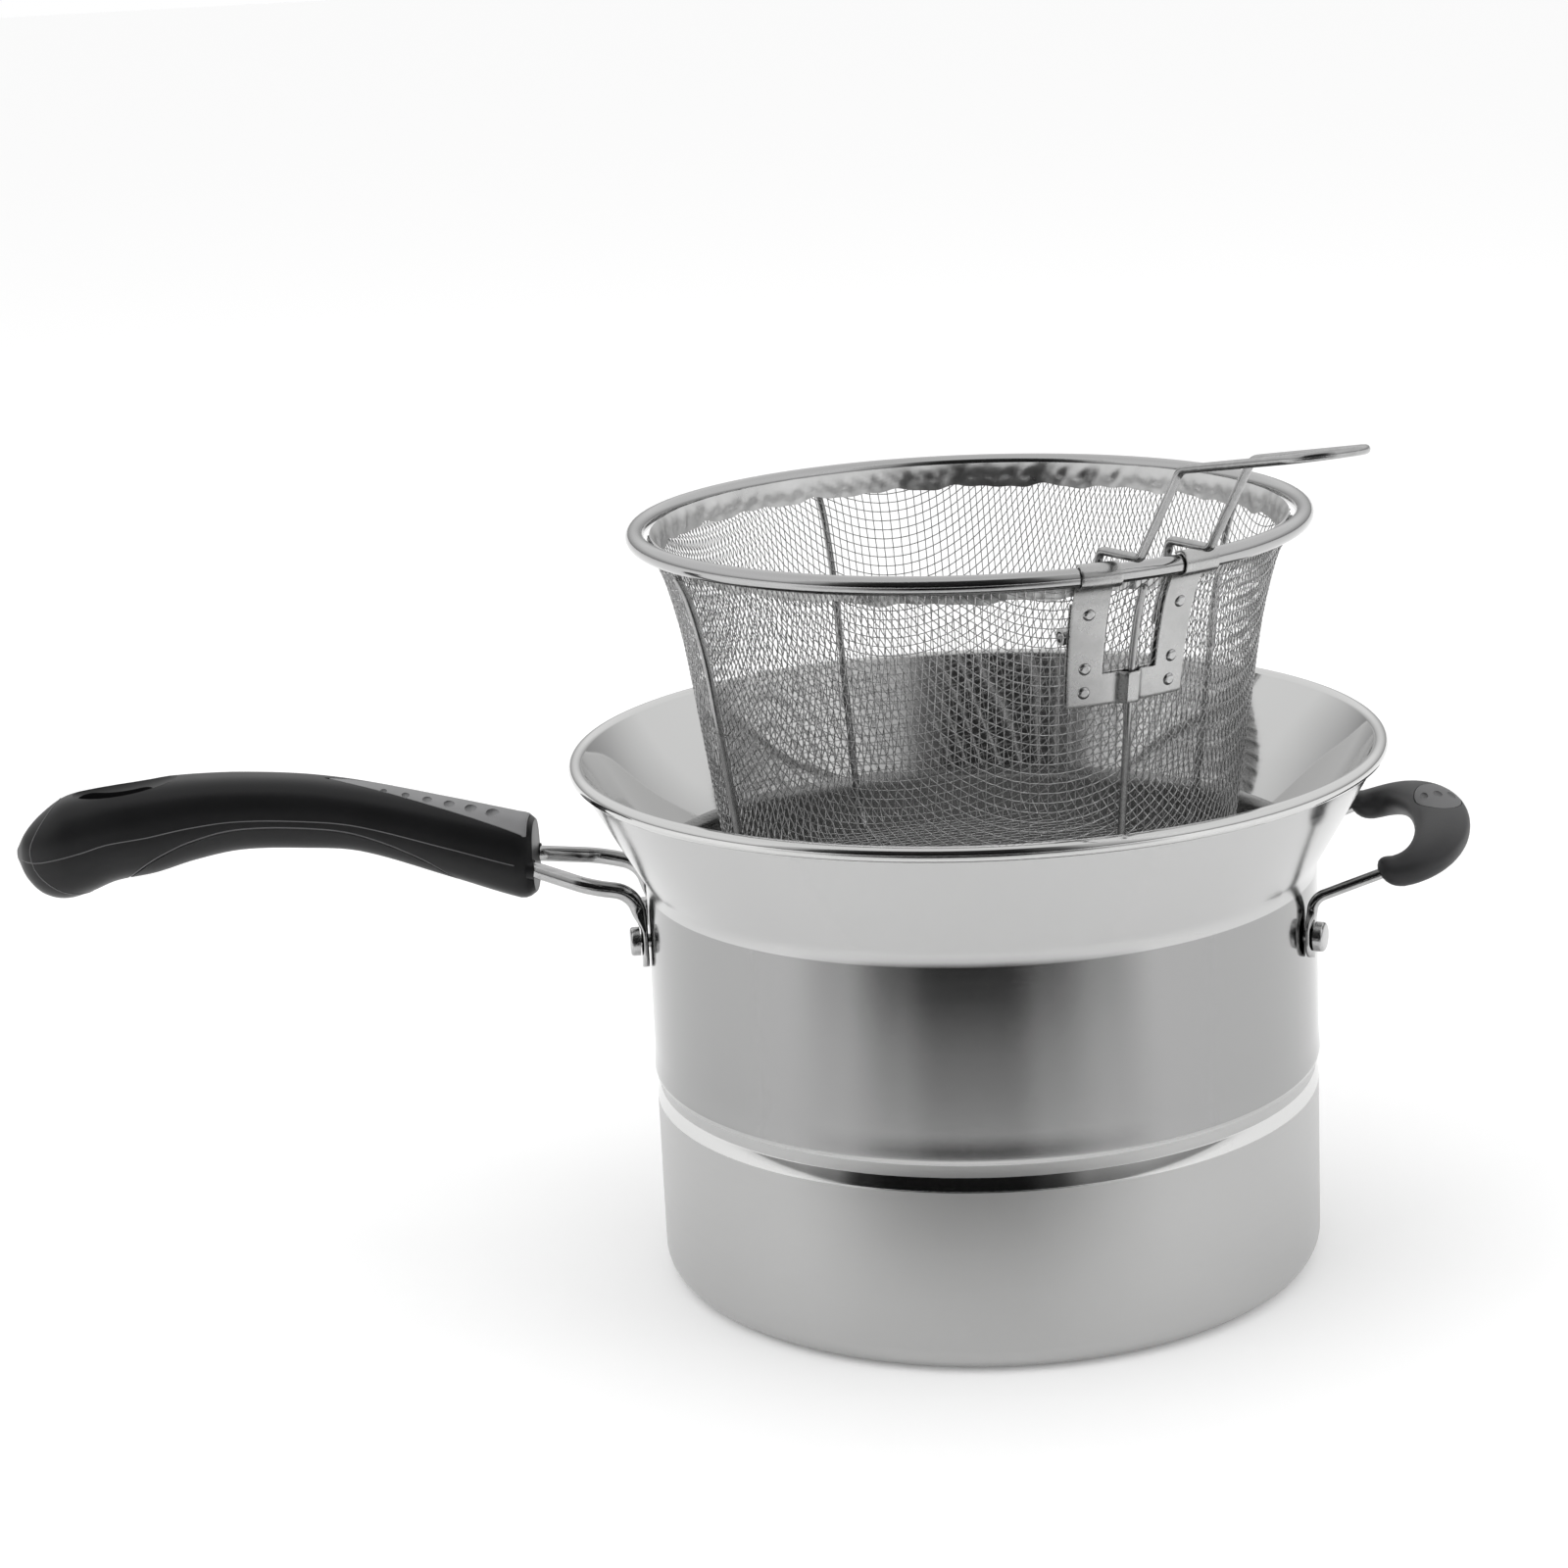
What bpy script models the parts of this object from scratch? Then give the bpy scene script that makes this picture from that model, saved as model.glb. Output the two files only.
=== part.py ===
"""Flared stainless pot with a lift-out wire basket, in metres, +Z up.

The origin is the centre of the pot's flat underside. The long handle points along -X and the
helper handle along +X. The basket hangs above the pot on the pot's own axis, part way out, and its
wire handle turns about a level axis inside the basket's rim.
"""

import math

import bmesh
import bpy
from mathutils import Matrix, Vector

# Common fits
GAP = 0.0003
OVERRUN = 0.0040

# Pot body
BODY_RADIUS = 0.0900
POT_WALL = 0.0010
BASE_CORNER_RADIUS = 0.0067
NECK_HEIGHT = 0.1103
FLARE_RISE = 0.0316
FLARE_REACH = 0.0168
RIM_ROLL_RADIUS = 0.0020
ROLL_UNDER_DEG = 70.0
GROOVE_TOP_SHARE = 0.519
GROOVE_WIDTH = 0.0078
GROOVE_DEPTH = 0.0008
POT_STEPS = 60

# Long handle grip: reach is from the body wall, rise from the neck
GRIP_REACH = 0.0297
GRIP_LENGTH = 0.1418
GRIP_HEIGHT = 0.0230
GRIP_WIDTH = 0.0214
GRIP_ARCH = 0.0152
GRIP_RISE = 0.0050
GRIP_RING_POINTS = 20
GRIP_SQUARENESS = 2.5
# Along the grip, centre rise, half height and half width
GRIP_SHARES = (
    (0.000, 0.00, 0.84, 0.84),
    (0.012, 0.01, 0.96, 0.95),
    (0.030, 0.02, 1.00, 1.00),
    (0.160, 0.38, 0.92, 0.97),
    (0.330, 0.83, 0.81, 0.93),
    (0.440, 0.96, 0.85, 0.95),
    (0.560, 1.00, 0.89, 1.00),
    (0.650, 0.92, 0.99, 1.07),
    (0.730, 0.79, 1.10, 1.14),
    (0.806, 0.69, 1.13, 1.16),
    (0.857, 0.55, 1.19, 1.14),
    (0.907, 0.43, 1.19, 1.07),
    (0.950, 0.34, 0.95, 0.88),
    (0.980, 0.33, 0.58, 0.58),
    (1.000, 0.35, 0.14, 0.14),
)
GRIP_STEPS = 30
HANG_HOLE_SHARE = 0.800
HANG_HOLE_LENGTH = 0.0205
HANG_HOLE_WIDTH = 0.0088
INLAY_START_SHARE = 0.030
INLAY_END_SHARE = 0.390
INLAY_WIDTH = 0.0150
INLAY_DEPTH = 0.0014
INLAY_WAIST_SHARE = 0.72
INLAY_TIP_SHARE = 0.10
INLAY_TIP_SHRINKS = 6.0
UNDERSIDE_START_SHARE = 0.190
UNDERSIDE_END_SHARE = 0.715
UNDERSIDE_RISE_SHARES = (0.02, 0.46, 0.70, 0.78, 0.70, 0.46, 0.02)

# Rods of the long handle
ROD_RADIUS = 0.0021
ROD_SPREAD = 0.0160
ROD_SOCKET_DEPTH = 0.0220
ROD_PAD_SPREAD = 0.0270
LONG_RIVET_DROP = 0.0161
ROD_BEND_RADIUS = 0.0080

# Flattened pads and rivets on the pot wall
PAD_THICKNESS = 0.0020
PAD_WIDTH = 0.0082
PAD_LENGTH = 0.0165
PAD_FOOT_SHARE = 0.44
RIVET_SHAFT_RADIUS = 0.0018
RIVET_HEAD_RADIUS = 0.0039
RIVET_HEAD_HEIGHT = 0.0026
RIVET_TAIL_RADIUS = 0.0036
RIVET_TAIL_HEIGHT = 0.0008
RIVET_STEPS = 16

# Helper handle: reach is from the body wall, rise from the neck
HELPER_WIRE_RADIUS = 0.0014
HELPER_RIVET_DROP = 0.0150
HELPER_PAD_SPREAD = 0.0628
HELPER_PAD_LENGTH = 0.0130
HELPER_SPAN = 0.0660
HELPER_REACH = 0.0180
HELPER_RISE = 0.0022
HELPER_BOW = 0.0150
HELPER_TILT = 0.0048
HELPER_WIDTH = 0.0148
HELPER_THICKNESS = 0.0100
HELPER_END_SHARE = 0.64
HELPER_TIP_LENGTH = 0.0050
# Share of the tip's length, and size as a share of the grip's end
HELPER_TIP_SHARES = ((0.45, 0.90), (0.80, 0.62), (1.0, 0.20))
HELPER_SOCKET_DEPTH = 0.0060
HELPER_RING_POINTS = 16
HELPER_STEPS = 20
HELPER_SQUARENESS = 2.3
HELPER_INLAY_LENGTH = 0.0280
HELPER_INLAY_WIDTH = 0.0124
HELPER_INLAY_SHIFT = 0.0030
HELPER_INLAY_DEPTH = 0.0012
HELPER_INLAY_STEPS = 16

# Basket rim, collar and wire cloth: the rise is from the pot's rolled edge
BASKET_RISE = 0.0612
BASKET_RIM_RADIUS = 0.0876
BASKET_RIM_TUBE = 0.0024
BASKET_DEPTH = 0.0990
CLOTH_THICKNESS = 0.0007
CLOTH_CORNER_RADIUS = 0.0080
TOP_BAND_STEPS = 3
CORNER_STEPS = 4
BASKET_STEPS = 48
RIM_TUBE_SIDES = 10
# Share of the basket's depth, and radius as a share of the cloth's top radius
CLOTH_SHARES = (
    (0.000, 1.000),
    (0.040, 0.987),
    (0.100, 0.956),
    (0.180, 0.929),
    (0.290, 0.901),
    (0.510, 0.864),
    (0.840, 0.810),
    (0.950, 0.793),
)
# Openings: a plain grid round the cloth's wall and across its floor, three lines to a bar
MESH_LINES = 3
MESH_COLUMNS_ROUND = 24
MESH_ROWS_DOWN = 5
MESH_TOP_DROP = 0.0110
MESH_BAR = 0.0020
FLOOR_PITCH = 0.0135
FLOOR_MARGIN = 0.0015
COLLAR_DROP = 0.0070
COLLAR_SHEET = 0.0005
COLLAR_LIP_HEIGHT = 0.0004

# Basket ribs: two bent wires that cross under the bottom
RIB_RADIUS = 0.0010
RIB_TURN_DEG = 90.0

# Handle bracket on the basket
BRACKET_AZIMUTH_DEG = -60.3
BRACKET_SHEET = 0.0005
BRACKET_WIDTH = 0.0382
BRACKET_LEG_WIDTH = 0.0100
BRACKET_DROP = 0.0349
BRACKET_BAR_HEIGHT = 0.0081
CHANNEL_HALF_WIDTH = 0.0042
CHANNEL_STEEPNESS = 1.5
CHANNEL_SHARES = (1.0, 0.72, 0.45, 0.2)
BRACKET_LEG_STEPS = 4
TAB_FOOT_DROP = 0.0046
TAB_START_DEG = -130.0
TAB_END_DEG = 125.0
TAB_STEPS = 11
BACKING_TOP_DROP = 0.0078
PIN_DROPS = (0.0108, 0.0250, 0.0312)
PIN_RADIUS = 0.0009
PIN_HEAD_RADIUS = 0.0016
PIN_HEAD_HEIGHT = 0.0005
PIN_TOP_SHARE = 0.6
PIN_STEPS = 12

# Basket handle: one bent wire that turns in two barrels on the backing plate
HANDLE_WIRE_RADIUS = 0.0010
HINGE_DROP = 0.0168
BARREL_RADIUS = 0.0021
BARREL_LENGTH = 0.0062
BARREL_BITE = 0.0004
BARREL_STEPS = 16
HOOK_OVERHANG = 0.0006
ARM_SPREAD = 0.0198
SHOULDER_REACH = 0.0114
SHOULDER_RISE = 0.0006
ELBOW_REACH = 0.0180
ELBOW_RISE = 0.0236
HANDLE_REACH = 0.0500
HANDLE_END_RISE = 0.0090
HANDLE_BEND_RADIUS = 0.0032
HANDLE_ELBOW_RADIUS = 0.0064
HANDLE_END_RADIUS = 0.0088

# Sides of a bent tube and points in one bend
TUBE_BEVEL_STEPS = 2
BEND_STEPS = 4
BEND_REACH_SHARE = 0.48

STEEL = (0.62, 0.62, 0.61)
BLACK = (0.012, 0.012, 0.013)
GREY = (0.085, 0.085, 0.088)


def clear_scene():
    """Empties the scene of objects and makes the two collections."""
    for obj in list(bpy.data.objects):
        bpy.data.objects.remove(obj, do_unlink=True)
    made = {}
    for name in ("flared_pot_with_basket", "cutters"):
        made[name] = bpy.data.collections.new(name)
        bpy.context.scene.collection.children.link(made[name])
    return made["flared_pot_with_basket"], made["cutters"]


PARTS, CUTTERS = clear_scene()


def principled(name, colour, roughness, metallic):
    """One Principled material."""
    material = bpy.data.materials.new(name)
    material.use_nodes = True
    shader = material.node_tree.nodes["Principled BSDF"]
    shader.inputs["Base Color"].default_value = (*colour, 1.0)
    shader.inputs["Roughness"].default_value = roughness
    shader.inputs["Metallic"].default_value = metallic
    return material


def steel(name, roughness=0.28):
    return principled(name + "_steel", STEEL, roughness, 1.0)


def moulding(name, colour, roughness=0.5):
    return principled(name + "_moulding", colour, roughness, 0.0)


def add_part(obj, name, material):
    """Names an object, gives it its material and files it under the parts."""
    obj.name = name
    obj.data.name = name
    for owner in list(obj.users_collection):
        owner.objects.unlink(obj)
    PARTS.objects.link(obj)
    obj.data.materials.clear()
    obj.data.materials.append(material)
    if obj.type == "MESH":
        obj.data.shade_smooth()
        obj.data.set_sharp_from_angle(angle=math.radians(35.0))
    return obj


def add_cutter(obj, name):
    """Names a helper shape that cuts or joins another and is no part itself."""
    obj.name = name
    for owner in list(obj.users_collection):
        owner.objects.unlink(obj)
    CUTTERS.objects.link(obj)
    obj.hide_render = True
    obj.display_type = "WIRE"
    return obj


def mesh_object(name, mesh):
    obj = bpy.data.objects.new(name, mesh)
    bpy.context.scene.collection.objects.link(obj)
    return obj


def to_mesh(curve_object):
    """Turns a curve object into a mesh object of its own, with its caps welded."""
    bpy.context.view_layer.update()
    evaluated = curve_object.evaluated_get(bpy.context.evaluated_depsgraph_get())
    mesh = bpy.data.meshes.new_from_object(evaluated)
    body = bmesh.new()
    body.from_mesh(mesh)
    bmesh.ops.remove_doubles(body, verts=body.verts, dist=GAP * 0.01)
    bmesh.ops.recalc_face_normals(body, faces=body.faces)
    body.to_mesh(mesh)
    body.free()
    obj = mesh_object(curve_object.name + "_mesh", mesh)
    obj.matrix_world = curve_object.matrix_world
    bpy.data.objects.remove(curve_object, do_unlink=True)
    return obj


def boolean(obj, other, operation):
    modifier = obj.modifiers.new(operation.lower(), "BOOLEAN")
    modifier.operation = operation
    modifier.solver = "EXACT"
    modifier.object = other
    return obj


def applied(obj):
    """The same object with its modifiers worked into its mesh."""
    bpy.context.view_layer.update()
    evaluated = obj.evaluated_get(bpy.context.evaluated_depsgraph_get())
    mesh = bpy.data.meshes.new_from_object(evaluated)
    obj.modifiers.clear()
    obj.data = mesh
    return obj


def turned(points, steps, closed):
    """A profile of (radius, height) points turned about Z by a Screw modifier."""
    mesh = bpy.data.meshes.new("profile")
    last = len(points) if closed else len(points) - 1
    edges = [(i, (i + 1) % len(points)) for i in range(last)]
    mesh.from_pydata([(radius, 0.0, height) for radius, height in points], edges, [])
    obj = mesh_object("turned", mesh)
    screw = obj.modifiers.new("turn", "SCREW")
    screw.axis = "Z"
    screw.angle = 2.0 * math.pi
    screw.steps = steps
    screw.render_steps = steps
    screw.use_merge_vertices = True
    screw.merge_threshold = GAP * 0.01
    return applied(obj)


def bent(points, bend_radii):
    """Points of a path whose inner corners are rounded, each to its own radius."""
    path = [points[0]]
    for before, corner, after, bend in zip(points, points[1:], points[2:], bend_radii):
        towards = (before - corner).normalized()
        away = (after - corner).normalized()
        half = towards.angle(away) / 2.0
        reach = min((before - corner).length, (after - corner).length) * BEND_REACH_SHARE
        run = min(bend / math.tan(half), reach)
        bend = run * math.tan(half)
        centre = corner + (towards + away).normalized() * (bend / math.sin(half))
        start = corner + towards * run - centre
        end = corner + away * run - centre
        for step in range(BEND_STEPS + 1):
            path.append(centre + start.slerp(end, step / BEND_STEPS) * start.length)
    path.append(points[-1])
    return path


def tube(points, radius):
    """A solid round wire along a list of points."""
    curve = bpy.data.curves.new("tube", "CURVE")
    curve.dimensions = "3D"
    curve.bevel_depth = radius
    curve.bevel_resolution = TUBE_BEVEL_STEPS
    curve.use_fill_caps = True
    spline = curve.splines.new("POLY")
    spline.points.add(len(points) - 1)
    for target, point in zip(spline.points, points):
        target.co = (*point, 1.0)
    obj = bpy.data.objects.new("tube", curve)
    bpy.context.scene.collection.objects.link(obj)
    return to_mesh(obj)


def plate(outline, thickness, placement):
    """A flat outline in its own XY plane, extruded both ways, then placed."""
    curve = bpy.data.curves.new("plate", "CURVE")
    curve.dimensions = "2D"
    curve.fill_mode = "BOTH"
    curve.extrude = thickness / 2.0
    spline = curve.splines.new("POLY")
    spline.points.add(len(outline) - 1)
    for target, (x, y) in zip(spline.points, outline):
        target.co = (x, y, 0.0, 1.0)
    spline.use_cyclic_u = True
    obj = bpy.data.objects.new("plate", curve)
    bpy.context.scene.collection.objects.link(obj)
    obj.matrix_world = placement
    return to_mesh(obj)


def cylinder(radius, length, placement, sides):
    bpy.ops.mesh.primitive_cylinder_add(vertices=sides, radius=radius, depth=length)
    obj = bpy.context.object
    obj.matrix_world = placement
    return obj


def loft(rings):
    """A closed solid through rings of equally many points, with flat ends."""
    body = bmesh.new()
    rows = [[body.verts.new(point) for point in ring] for ring in rings]
    count = len(rows[0])
    for row, following in zip(rows, rows[1:]):
        for i in range(count):
            j = (i + 1) % count
            body.faces.new((row[i], row[j], following[j], following[i]))
    body.faces.new(reversed(rows[0]))
    body.faces.new(rows[-1])
    bmesh.ops.recalc_face_normals(body, faces=body.faces)
    mesh = bpy.data.meshes.new("loft")
    body.to_mesh(mesh)
    body.free()
    return mesh_object("loft", mesh)


def smooth_rows(rows, share):
    """A row between the rows of a table of shares, on a smooth curve through them."""
    last = len(rows) - 1
    k = 0
    while k < last - 1 and share > rows[k + 1][0]:
        k += 1
    step = rows[k + 1][0] - rows[k][0]
    t = (share - rows[k][0]) / step
    values = []
    for column in range(1, len(rows[0])):
        slopes = []
        for i in (k, k + 1):
            low, high = max(i - 1, 0), min(i + 1, last)
            slopes.append((rows[high][column] - rows[low][column]) / (rows[high][0] - rows[low][0]))
        a, b = rows[k][column], rows[k + 1][column]
        values.append(
            a * (1.0 + 2.0 * t) * (1.0 - t) ** 2
            + b * t * t * (3.0 - 2.0 * t)
            + step * (slopes[0] * t * (1.0 - t) ** 2 + slopes[1] * t * t * (t - 1.0))
        )
    return values


def section(angle, half_width, half_height, power):
    """A point of a rounded section, square-shouldered as its power grows."""
    across = math.cos(angle)
    up = math.sin(angle)
    return (
        half_width * math.copysign(abs(across) ** (2.0 / power), across),
        half_height * math.copysign(abs(up) ** (2.0 / power), up),
    )


def radial_frame(azimuth, radius, height, lean=0.0):
    """Local X runs round the pot, local Y is up and local Z points away from the axis.

    A lean tips local Z down by its angle.
    """
    outward = Vector((math.cos(azimuth), math.sin(azimuth), 0.0))
    around = Vector((-math.sin(azimuth), math.cos(azimuth), 0.0))
    frame = Matrix.Identity(4)
    frame.col[0].xyz = around
    frame.col[1].xyz = (0.0, 0.0, 1.0)
    frame.col[2].xyz = outward
    frame.col[3].xyz = outward * radius + Vector((0.0, 0.0, height))
    return frame @ Matrix.Rotation(lean, 4, "X")


def arc(centre, radius, start, end, steps):
    """Points of an arc in the profile plane, its angles in degrees."""
    points = []
    for step in range(steps + 1):
        angle = math.radians(start + (end - start) * step / steps)
        points.append((centre[0] + radius * math.cos(angle), centre[1] + radius * math.sin(angle)))
    return points


# Where the pot's main features lie
RIM_HEIGHT = NECK_HEIGHT + FLARE_RISE
RIM_RADIUS = BODY_RADIUS + FLARE_REACH
FLARE_ANGLE = math.atan2(FLARE_REACH, FLARE_RISE)
GROOVE_TOP = NECK_HEIGHT * GROOVE_TOP_SHARE
LONG_RIVET_HEIGHT = NECK_HEIGHT - LONG_RIVET_DROP
HELPER_RIVET_HEIGHT = NECK_HEIGHT - HELPER_RIVET_DROP
PAD_RADIUS = BODY_RADIUS + GAP + PAD_THICKNESS / 2.0


def pad_azimuth(middle, spread, side):
    """Direction from the axis of a pad that stands half the spread from the handle's middle."""
    return middle + side * math.asin(spread / 2.0 / BODY_RADIUS)


LONG_PADS = {
    "front": (pad_azimuth(math.pi, ROD_PAD_SPREAD, 1.0), LONG_RIVET_HEIGHT),
    "rear": (pad_azimuth(math.pi, ROD_PAD_SPREAD, -1.0), LONG_RIVET_HEIGHT),
}
HELPER_PADS = {
    "front": (pad_azimuth(0.0, HELPER_PAD_SPREAD, -1.0), HELPER_RIVET_HEIGHT),
    "rear": (pad_azimuth(0.0, HELPER_PAD_SPREAD, 1.0), HELPER_RIVET_HEIGHT),
}


def wall_line(inset):
    """The pot wall's outside from neck to base centre, moved inwards by the inset."""
    groove_middle = GROOVE_TOP - GROOVE_WIDTH / 2.0
    corner = BASE_CORNER_RADIUS - inset
    base = inset
    points = [(BODY_RADIUS - inset, NECK_HEIGHT + inset * math.tan(FLARE_ANGLE / 2.0))]
    points.append((BODY_RADIUS - inset, GROOVE_TOP))
    points.append((BODY_RADIUS - inset - GROOVE_DEPTH, groove_middle + GROOVE_WIDTH / 4.0))
    points.append((BODY_RADIUS - inset - GROOVE_DEPTH, groove_middle - GROOVE_WIDTH / 4.0))
    points.append((BODY_RADIUS - inset, GROOVE_TOP - GROOVE_WIDTH))
    centre = (BODY_RADIUS - BASE_CORNER_RADIUS, BASE_CORNER_RADIUS)
    points += arc(centre, corner, 0.0, -90.0, 5)
    points.append((0.0, base))
    return points


def make_pot_body():
    """The deep body, its groove, its flare and the rolled edge, turned in one."""
    roll = (RIM_RADIUS, RIM_HEIGHT)
    start = -math.degrees(FLARE_ANGLE)
    rolled = arc(roll, RIM_ROLL_RADIUS, start + 180.0, start, 8)
    outside = rolled + arc(roll, RIM_ROLL_RADIUS, start, start - ROLL_UNDER_DEG, 3)[1:]
    outside += wall_line(0.0)
    inside = list(reversed(wall_line(POT_WALL)))[1:]
    profile = outside + [(0.0, POT_WALL)] + inside
    return turned(profile, POT_STEPS, True)


def make_rivet(name, azimuth, height):
    """A round-headed rivet through a pad and the pot wall."""
    seat = BODY_RADIUS + 2.0 * GAP + PAD_THICKNESS
    grip = 3.0 * GAP + PAD_THICKNESS + POT_WALL
    head = arc((0.0, 0.0), 1.0, 90.0, 20.0, 4)
    points = [(x * RIVET_HEAD_RADIUS, y * RIVET_HEAD_HEIGHT) for x, y in head]
    points[0] = (0.0, RIVET_HEAD_HEIGHT)
    points.append((RIVET_HEAD_RADIUS, 0.0))
    points.append((RIVET_SHAFT_RADIUS, 0.0))
    points.append((RIVET_SHAFT_RADIUS, -grip))
    points.append((RIVET_TAIL_RADIUS, -grip))
    points.append((RIVET_TAIL_RADIUS - RIVET_TAIL_HEIGHT / 2.0, -grip - RIVET_TAIL_HEIGHT))
    points.append((0.0, -grip - RIVET_TAIL_HEIGHT))
    rivet = turned(points, RIVET_STEPS, False)
    rivet.matrix_world = radial_frame(azimuth, seat, height)
    return add_part(rivet, name, steel(name, 0.3))


def rivet_hole(name, azimuth, height):
    """A clearance bore for one rivet, through its pad and the wall."""
    frame = radial_frame(azimuth, BODY_RADIUS, height)
    length = 2.0 * (PAD_THICKNESS + POT_WALL + OVERRUN)
    return add_cutter(cylinder(RIVET_SHAFT_RADIUS + GAP, length, frame, RIVET_STEPS), name)


def pad_outline(length):
    """A pad with a round foot, its rivet at the local origin."""
    half = PAD_WIDTH / 2.0
    foot = length * PAD_FOOT_SHARE
    top = length - foot
    points = arc((0.0, half - foot), half, 180.0, 360.0, 8)
    points += [(half * 0.8, top - half * 0.2), (half * 0.55, top), (-half * 0.55, top)]
    points.append((-half * 0.8, top - half * 0.2))
    return points


def pot_wire(name, points, radius, bends, azimuth, height, length, hole):
    """A handle wire with its flattened end joined on and bored for the rivet."""
    wire = tube(bent(points, bends), radius)
    placement = radial_frame(azimuth, PAD_RADIUS, height)
    pad = add_cutter(plate(pad_outline(length), PAD_THICKNESS, placement), name + "_pad")
    boolean(wire, pad, "UNION")
    boolean(wire, hole, "DIFFERENCE")
    return add_part(applied(wire), name, steel(name, 0.22))


def grip_axis_x(share):
    return -(BODY_RADIUS + GRIP_REACH + GRIP_LENGTH * share)


def grip_middle(share):
    """Height of the grip's centre line at a share of its length."""
    rise = smooth_rows(GRIP_SHARES, share)[0]
    return NECK_HEIGHT + GRIP_RISE + GRIP_ARCH * rise


def grip_solid(grow):
    """The long grip's outer shape, thicker all round by the value given."""
    shares = [row[0] for row in GRIP_SHARES[:3]]
    for step in range(1, GRIP_STEPS):
        shares.append(shares[2] + (1.0 - shares[2]) * math.sin(step / GRIP_STEPS * math.pi / 2.0))
    shares.append(1.0)
    rings = []
    for share in shares:
        rise, tall, wide = smooth_rows(GRIP_SHARES, share)
        x = grip_axis_x(share)
        if share in (0.0, 1.0):
            x += grow if share == 0.0 else -grow
        ring = []
        for i in range(GRIP_RING_POINTS):
            angle = 2.0 * math.pi * i / GRIP_RING_POINTS
            y, z = section(
                angle,
                GRIP_WIDTH / 2.0 * wide + grow,
                GRIP_HEIGHT / 2.0 * tall + grow,
                GRIP_SQUARENESS,
            )
            ring.append((x, y, NECK_HEIGHT + GRIP_RISE + GRIP_ARCH * rise + z))
        rings.append(ring)
    return loft(rings)


def inlay_and_pocket(name, solid, outline, placement, height, depth, host, material):
    """Cuts a shallow pocket where a prism meets a solid's skin, and fills it with an inlay.

    The outline function gives the prism's outline, drawn in by a clearance. The solid function
    gives the host's shape, grown by a clearance.
    """
    pocket = add_cutter(plate(outline(0.0), height, placement), name + "_pocket")
    floor = add_cutter(solid(-depth - GAP), name + "_floor")
    boolean(pocket, floor, "DIFFERENCE")
    applied(pocket)
    boolean(host, pocket, "DIFFERENCE")
    inlay = plate(outline(GAP), height, placement)
    skin = add_cutter(solid(0.0), name + "_skin")
    core = add_cutter(solid(-depth), name + "_core")
    boolean(inlay, skin, "INTERSECT")
    boolean(inlay, core, "DIFFERENCE")
    return add_part(applied(inlay), name, material)


def inlay_outline(shrink):
    """The wedge on top of the long grip, wide at the pot end, in plan."""
    start = grip_axis_x(INLAY_START_SHARE) - shrink
    end = grip_axis_x(INLAY_END_SHARE) + shrink * INLAY_TIP_SHRINKS
    half = INLAY_WIDTH / 2.0 - shrink
    middle = (start + end) / 2.0
    side = [(start, half), (middle, half * INLAY_WAIST_SHARE), (end, half * INLAY_TIP_SHARE)]
    return [(x, y) for x, y in side] + [(x, -y) for x, y in reversed(side)]


def underside_outline(shrink):
    """The finger pad's side view: an arch whose feet leave the grip's underside."""
    start = UNDERSIDE_START_SHARE
    span = UNDERSIDE_END_SHARE - start
    last = len(UNDERSIDE_RISE_SHARES) - 1
    arch = []
    for i, lift in enumerate(UNDERSIDE_RISE_SHARES):
        share = start + span * i / last
        tall = smooth_rows(GRIP_SHARES, share)[1] * GRIP_HEIGHT / 2.0
        inwards = shrink * (1.0 - 2.0 * i / last) * 2.0
        arch.append((grip_axis_x(share) - inwards, grip_middle(share) - tall * (1.0 - lift) - shrink))
    low = min(point[1] for point in arch) - GRIP_HEIGHT
    return arch + [(arch[-1][0], low), (arch[0][0], low)]


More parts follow.
